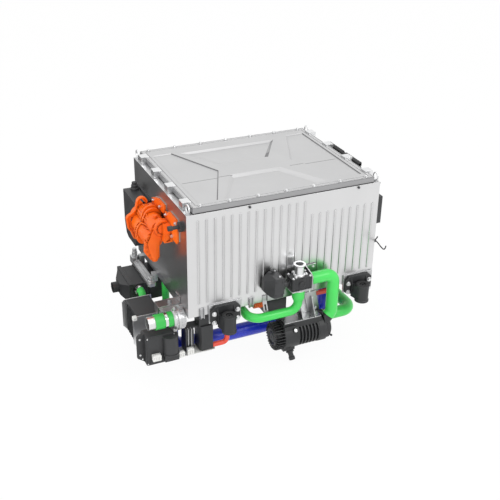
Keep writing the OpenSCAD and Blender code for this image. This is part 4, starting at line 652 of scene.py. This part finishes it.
def turned(profile, steps=28):  # a profile of radius and height spun round its Z
    bm = bmesh.new()
    points = [bm.verts.new((r / 1000, 0, z / 1000)) for r, z in profile]
    edges = [bm.edges.new(pair) for pair in zip(points, points[1:])]
    bmesh.ops.spin(bm, geom=points + edges, cent=(0, 0, 0), axis=(0, 0, 1), angle=math.tau, steps=steps,
                   use_merge=True)
    bmesh.ops.remove_doubles(bm, verts=bm.verts, dist=1e-6)
    bmesh.ops.recalc_face_normals(bm, faces=bm.faces)
    return bm


def roundedBox(sides, edge, segments=2, middle=(0, 0, 0)):  # sides and middle in metres
    bm = bmesh.new()
    bmesh.ops.create_cube(bm, size=1)
    bmesh.ops.scale(bm, verts=bm.verts, vec=sides)
    bmesh.ops.translate(bm, verts=bm.verts, vec=middle)
    bmesh.ops.bevel(bm, geom=list(bm.edges), offset=edge / 1000, offset_type="OFFSET", affect="EDGES",
                    segments=segments, profile=0.5, material=-1)
    return bm


def softBox(low, high, edge, segments=2):  # box between two corners with rounded edges
    a, b = at(*low), at(*high)
    return roundedBox(b - a, edge, segments, (a + b) / 2)


def sweptRod(path, radius, sides=12):  # round wire through points, its ends closed
    points = [at(*p) for p in path]
    bm = bmesh.new()
    ring = bmesh.ops.create_circle(bm, cap_ends=True, segments=sides, radius=radius / 1000)["verts"]
    heading = (points[1] - points[0]).to_track_quat("Z", "Y")
    bmesh.ops.transform(bm, verts=ring, matrix=Matrix.Translation(points[0]) @ heading.to_matrix().to_4x4())
    for i in range(1, len(points)):
        way = points[min(i + 1, len(points) - 1)] - points[i - 1]
        turn = (heading @ Vector((0, 0, 1))).rotation_difference(way.normalized())
        loop = [e for e in bm.edges if all(v in ring for v in e.verts)]
        grown = bmesh.ops.extrude_edge_only(bm, edges=loop)["geom"]
        ring = [v for v in grown if isinstance(v, bmesh.types.BMVert)]
        back, ahead = Matrix.Translation(-points[i - 1]), Matrix.Translation(points[i])
        bmesh.ops.transform(bm, verts=ring, matrix=ahead @ turn.to_matrix().to_4x4() @ back)
        heading = turn @ heading
    bmesh.ops.holes_fill(bm, edges=[e for e in bm.edges if e.is_boundary], sides=0)
    bmesh.ops.recalc_face_normals(bm, faces=bm.faces)
    return bm


class Piece:
    def __init__(self):
        self.bm = bmesh.new()

    def put(self, shape, places=(Matrix.Identity(4),)):
        mesh = bpy.data.meshes.new("shape")
        shape.to_mesh(mesh)
        shape.free()
        for m in places:
            copy = mesh.copy()
            copy.transform(m)
            self.bm.from_mesh(copy)
            bpy.data.meshes.remove(copy)
        bpy.data.meshes.remove(mesh)

    def done(self, name, finish, body="engine"):
        mesh = bpy.data.meshes.new(name)
        self.bm.to_mesh(mesh)
        self.bm.free()
        mesh.materials.append(made[finish])
        mesh.shade_smooth()
        mesh.set_sharp_from_angle(angle=math.radians(35))
        piece = linkNew(name, mesh)
        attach(piece, body)
        return piece


pumpSet = {
    "screw": (6.4, 4.5),
    "boss": (-543, -179, 388),
    "bossRing": (33, 10),  # radius and number
    "drive": (-549.5, -44, 372),
    "driveTurns": (98, 128, 158),
    "driven": (-580.2, -44, 322.8),
    "drivenTurns": (150, 178, 206),
    "flangeRing": 46.4,
    "plate": (-580.2, -158, 322.8),
    "plateHoles": [(-37, -4), (-40, -28), (-38, -52), (-27, -73), (-16, -92)],
}


def pumpScrews(s):
    piece = Piece()
    radius, count = s["bossRing"]
    piece.put(socketScrew(*s["screw"]), onCircle(s["boss"], radius, evenly(count), forward))
    piece.put(socketScrew(*s["screw"]), onCircle(s["drive"], s["flangeRing"], s["driveTurns"], forward)
              + onCircle(s["driven"], s["flangeRing"], s["drivenTurns"], forward))
    x, y, z = s["plate"]
    piece.put(socketScrew(*s["screw"]), [facing((x + dx, y, z + dz), forward) for dx, dz in s["plateHoles"]])
    piece.done("pumpScrews", "orangePaint")


pumpScrews(pumpSet)

valveSet = {
    "topScrew": (10.5, 5),
    "columns": [(6, -403), (96, -403), (6, -457), (96, -457)],
    "columnTop": 141,
    "lugCentre": (50, -430, 147),
    "lugAngles": (120, -17, 217),
    "lugReach": 34,
    "caseTopScrew": (11, 5),
    "caseTop": [(-66, -394), (-66, -456)],
    "caseTopZ": 168,
    "caseFrontScrew": (6.5, 3),
    "caseFront": [(-92, 80), (-60, 80), (-92, 150), (-60, 146)],
    "caseFrontY": -471,
    "stud": (-18, -391, 14),
    "studShape": [(0, 0), (3.2, 0), (4.2, 1)] + [(4.2 if i % 2 else 3.8, 2 + i) for i in range(18)]
    + [(4.2, 24), (4.2, 40), (0, 40)],
    "studNut": (14, 7),
    "studNutZ": 30,
    "underBolt": (101, -448, 69),
    "underHead": (12, 6),
    "underShape": [(0, 0), (3.6, 0), (3.6, 20), (2.8, 21), (0, 21)],
    "underSunk": 4,
    "cover": (50, -466.4, 108),
    "coverShape": [(0, 0), (17, 0), (17, 2.6), (15.6, 4), (11, 4), (10, 2.8), (0, 2.8)],
    "coverFace": -470.2,
    "coverRing": (13.4, 4),
    "coverScrew": (4, 1.6),
}


def valveBolts(s):
    piece = Piece()
    piece.put(hexScrew(*s["topScrew"]),
              [facing((x, y, s["columnTop"]), upward, 20) for x, y in s["columns"]])
    piece.put(hexScrew(*s["topScrew"]),
              onCircle(s["lugCentre"], s["lugReach"], s["lugAngles"], upward, True))
    piece.put(socketScrew(*s["caseTopScrew"]),
              [facing((x, y, s["caseTopZ"]), upward) for x, y in s["caseTop"]])
    piece.put(turned(s["studShape"]), [facing(s["stud"], upward)])
    piece.put(hexScrew(*s["studNut"]), [facing((*s["stud"][:2], s["studNutZ"]), upward, 15)])
    x, y, z = s["underBolt"]
    piece.put(hexScrew(*s["underHead"]), [facing((x, y, z), downward, 10)])
    piece.put(turned(s["underShape"]), [facing((x, y, z - s["underSunk"]), downward)])
    piece.done("valveBolts", "zinc")
    dark = Piece()
    dark.put(socketScrew(*s["caseFrontScrew"]),
             [facing((x, s["caseFrontY"], z), forward) for x, z in s["caseFront"]])
    dark.put(turned(s["coverShape"], 32), [facing(s["cover"], forward)])
    x, _, z = s["cover"]
    radius, count = s["coverRing"]
    dark.put(socketScrew(*s["coverScrew"]),
             onCircle((x, s["coverFace"], z), radius, evenly(count, 0.5), forward))
    dark.done("valveCaseScrews", "castBlack")


valveBolts(valveSet)

compressorSet = {
    "axis": (-400, -200),
    "bossScrew": (14, 6),
    "boss": ((28, -462.3, -151.4), (0, -0.788, 0.616)),
    "bracketScrew": (13, 6),
    "bracket": [(155, -382.5, -34), (179, -382.5, -100), (88, -382.5, -101), (150, -385.5, 82),
                (150, -385.5, 142)],
    "endScrew": (6.6, 4),
    "ends": [(203, 70.4, 8, rightward), (-75, 44.6, 6, leftward)],  # face, radius, number and side
    "sensorLead": [(206, -462, -208), (214, -464, -213), (223, -466, -220), (228, -467, -225)],
    "leadRadius": 2.2,
    "sensorTip": [(0, 0), (4.6, 0.5), (5.6, 3), (5.6, 8), (4, 10.5), (0, 11)],
    "tipPlace": ((226, -466.6, -223), (0.62, -0.14, -0.6)),
    "sensorFoot": [(0, 0), (6.5, 0), (6.5, 5), (4, 7), (0, 7)],
    "footPlace": ((201, -461, -205), (0.8, -0.25, -0.5)),
    "cap": [(0, 0), (29, 0), (29, 2.4), (27.5, 3.4), (21, 3.4), (19.5, 5.2), (8, 5.2), (7, 4), (0, 4)],
    "capBack": -67.3,  # the cap closes the motor's end
}


def compressorBolts(s):
    piece = Piece()
    piece.put(hexScrew(*s["bossScrew"]), [facing(*s["boss"])])
    piece.put(hexScrew(*s["bracketScrew"]), [facing(p, forward, 12) for p in s["bracket"]])
    piece.done("compressorBolts", "zinc")
    dark = Piece()
    for face, radius, count, side in s["ends"]:
        dark.put(socketScrew(*s["endScrew"]), onCircle((face, *s["axis"]), radius, evenly(count), side))
    dark.put(sweptRod(s["sensorLead"], s["leadRadius"]))
    dark.put(turned(s["sensorTip"]), [facing(*s["tipPlace"])])
    dark.put(turned(s["sensorFoot"]), [facing(*s["footPlace"])])
    dark.put(turned(s["cap"], 40), [facing((s["capBack"], *s["axis"]), leftward)])
    dark.done("compressorScrews", "castBlack")


compressorBolts(compressorSet)
print("bolts on the pump, valve and compressor")

clampSet = {
    "bands": [((-593, 74, -66), "y", 21.2, 200), ((-596, -320, -17), "x", 39.2, 120),
              ((251, -350, -180), "x", 32.7, 140), ((-426, 189, -90), "x", 32.7, 60)],
    "housing": (9, 15, 7),
    "housingEdge": 1.6,
    "sunk": 1,  # how far the housing goes into its band, and the screw into the housing
    "screw": (7.5, 4.5),
    "thinRings": [((-593, 84, -66), (0, 1, 0), 19.1), ((50, -430, 63), upward, 30.6)],
    "thinShape": [(0, -2), (1.6, -1.6), (2, 0), (1.6, 1.6), (0, 2), (0, -2)],
}


def clampHousings(s):
    piece = Piece()
    _, long, high = s["housing"]
    for centre, along, radius, angle in s["bands"]:
        c, n = math.cos(math.radians(angle)), math.sin(math.radians(angle))
        if along == "x":
            axis, side, out = Vector((1, 0, 0)), Vector((0, -n, c)), Vector((0, c, n))
        else:
            axis, side, out = Vector((0, 1, 0)), Vector((-n, 0, c)), Vector((c, 0, n))
        m = Matrix((axis, side, out)).transposed().to_4x4()
        m.translation = at(*(Vector(centre) + out * (radius + high / 2 - s["sunk"])))
        piece.put(roundedBox(Vector(s["housing"]) / 1000, s["housingEdge"]), [m])
        head = Vector(centre) + out * (radius + high / 2) + side * (long / 2 - s["sunk"])
        piece.put(hexScrew(*s["screw"]), [facing(head, side)])
    for centre, way, radius in s["thinRings"]:  # wire rings where a hose meets its port
        ring = [(radius + r, z) for r, z in s["thinShape"]]
        piece.put(turned(ring, 36), [facing(centre, way)])
    piece.done("clampHousings", "zinc")


clampHousings(clampSet)

cornerSet = {
    "flangeScrew": (8.5, 4.5),
    "flangeScrews": [(-722, -100), (-722, -188), (-711, -212)],
    "flangeY": -312,
    "caseScrew": (7, 3),
    "caseScrews": [(-694, -89), (-694, -229), (-560, -89)],
    "caseY": -340,
}


def cornerScrews(s):
    piece = Piece()
    piece.put(hexScrew(*s["flangeScrew"]),
              [facing((x, s["flangeY"], z), forward, 15) for x, z in s["flangeScrews"]])
    piece.put(socketScrew(*s["caseScrew"]),
              [facing((x, s["caseY"], z), forward) for x, z in s["caseScrews"]])
    piece.done("cornerScrews", "zinc")


cornerScrews(cornerSet)

plugSet = {
    "plugs": [((-676, -366, -207), (-634, -339.5, -177)), ((-546.5, -362, -222), (-514, -340, -193)),
              ((-497, -353, -226), (-463, -329.5, -193)), ((-716, -197, -68), (-694, -179.5, -46))],
    "edge": 2.5,
    "ribs": 3,  # gripping ribs on the front
    "ribProud": (2.5, 3),
    "ribMargin": 5,
    "smallEdge": 0.8,
    "latch": ((6, 3, -1), (-6, 12, 3.5)),  # from the plug's left front top and its right front top
}


def whitePlugs(s):
    piece = Piece()
    proud, sunk = s["ribProud"]
    (a, b, c), (d, e, f) = s["latch"]
    for low, high in s["plugs"]:
        piece.put(softBox(low, high, s["edge"]))
        wide = (high[0] - low[0]) / (s["ribs"] * 2 + 1)
        for i in range(s["ribs"]):
            x = low[0] + wide * (2 * i + 1)
            piece.put(softBox((x, low[1] - proud, low[2] + s["ribMargin"]),
                              (x + wide, low[1] + sunk, high[2] - s["ribMargin"]), s["smallEdge"], 1))
        piece.put(softBox((low[0] + a, low[1] + b, high[2] + c), (high[0] + d, low[1] + e, high[2] + f),
                          s["smallEdge"], 1))
    piece.done("whitePlugs", "whiteConnector")


whitePlugs(plugSet)

traySet = {  # white sheet that carries the relays from below
    "sheet": ((-556, -344, -232.5), (-352, -262, -229.5)),
    "lip": ((-354, -344, -232), (-351, -262, -216)),
    "edge": 1,
}


def relayTray(s):
    piece = Piece()
    piece.put(softBox(*s["sheet"], s["edge"]))
    piece.put(softBox(*s["lip"], s["edge"]))
    piece.done("relayTray", "whiteConnector")


relayTray(traySet)
print("clamps, plugs and corner screws")

snubberSet = {
    "places": [(x, y, 10.8) for x in (-317, 413) for y in (-436, 436)],
    "shape": [(15, 0), (32.4, 0), (32.8, 1.6), (32, 3.2), (29, 3.6), (19, 2.6), (16, 1.6), (15, 0)],
}


def isolatorSnubbers(s):  # rubber rings on top of the isolators
    piece = Piece()
    piece.put(turned(s["shape"], 48), [facing(p, upward) for p in s["places"]])
    piece.done("isolatorSnubbers", "blackRubber")


isolatorSnubbers(snubberSet)

hookSet = {
    "foot": ((500, -376, 200), (508, -354, 216)),
    "footEdge": 1.5,
    "wire": [(507, -368, 209), (509, -380, 207), (509, -396, 204), (508, -414, 200), (508, -432, 196),
             (508, -445, 195), (508, -455, 199), (508, -462, 209), (508, -466, 222)],
    "prong": [(507, -368, 210), (511, -372, 217), (513, -376, 225), (514, -379, 232)],
    "radius": 3,
}


def cableHook(s):
    piece = Piece()
    piece.put(softBox(*s["foot"], s["footEdge"]))
    piece.put(sweptRod(s["wire"], s["radius"]))
    piece.put(sweptRod(s["prong"], s["radius"]))
    piece.done("cableHook", "castBlack")


cableHook(hookSet)

stripSet = {
    "low": (504, -158, 525.5),
    "high": (530, 166, 546),
    "caps": 17,
    "missing": 8,  # no cap here
    "slit": 2,
    "capEdge": 5,
    "railEdge": 1.5,
    "railIn": 2,
    "railLower": 6,
}


def terminalCaps(s):  # the caps over the strip's terminals, seen above the lid's edge
    piece = Piece()
    (x0, y0, z0), (x1, y1, z1) = s["low"], s["high"]
    step = (y1 - y0) / s["caps"]
    for i in range(s["caps"]):
        if i != s["missing"]:
            y = y0 + step * i
            piece.put(softBox((x0, y, z0), (x1, y + step - s["slit"], z1), s["capEdge"], 3))
    piece.put(softBox((x0 + s["railIn"], y0, z0), (x1 - s["railIn"], y1 - s["slit"], z1 - s["railLower"]),
                      s["railEdge"]))
    piece.done("terminalCaps", "blackRubber")


terminalCaps(stripSet)

boxSet = {
    "valveBoxScrew": (7, 2.5),
    "valveBoxX": -585,
    "valveBox": [(122, 236), (122, 390), (296, 236), (296, 390)],
    "sideBoxScrew": (7, 1.5),
    "sideBoxX": 532.5,
    "sideBox": [(-352, 308), (-352, 432), (-256, 308), (-256, 432)],
    "wallScrew": (11, 6),
    "wall": [((-193, -376.5, 521), forward), ((380, -376.5, 521), forward), ((500, -366, 522), rightward)],
    "railScrew": (9, 4.5),
    "rail": [(-542, 76, -7), (-542, 290, -7)],
}


def boxScrews(s):
    dark = Piece()
    dark.put(socketScrew(*s["valveBoxScrew"]),
             [facing((s["valveBoxX"], y, z), leftward) for y, z in s["valveBox"]])
    dark.put(socketScrew(*s["sideBoxScrew"]),
             [facing((s["sideBoxX"], y, z), rightward) for y, z in s["sideBox"]])
    dark.put(socketScrew(*s["wallScrew"]), [facing(*place) for place in s["wall"]])
    dark.done("boxScrews", "mouldedBlack")
    bright = Piece()
    bright.put(hexScrew(*s["railScrew"]), [facing(p, upward) for p in s["rail"]])
    bright.done("boxHardware", "zinc")


boxScrews(boxSet)
print("hook, box screws and terminal caps")
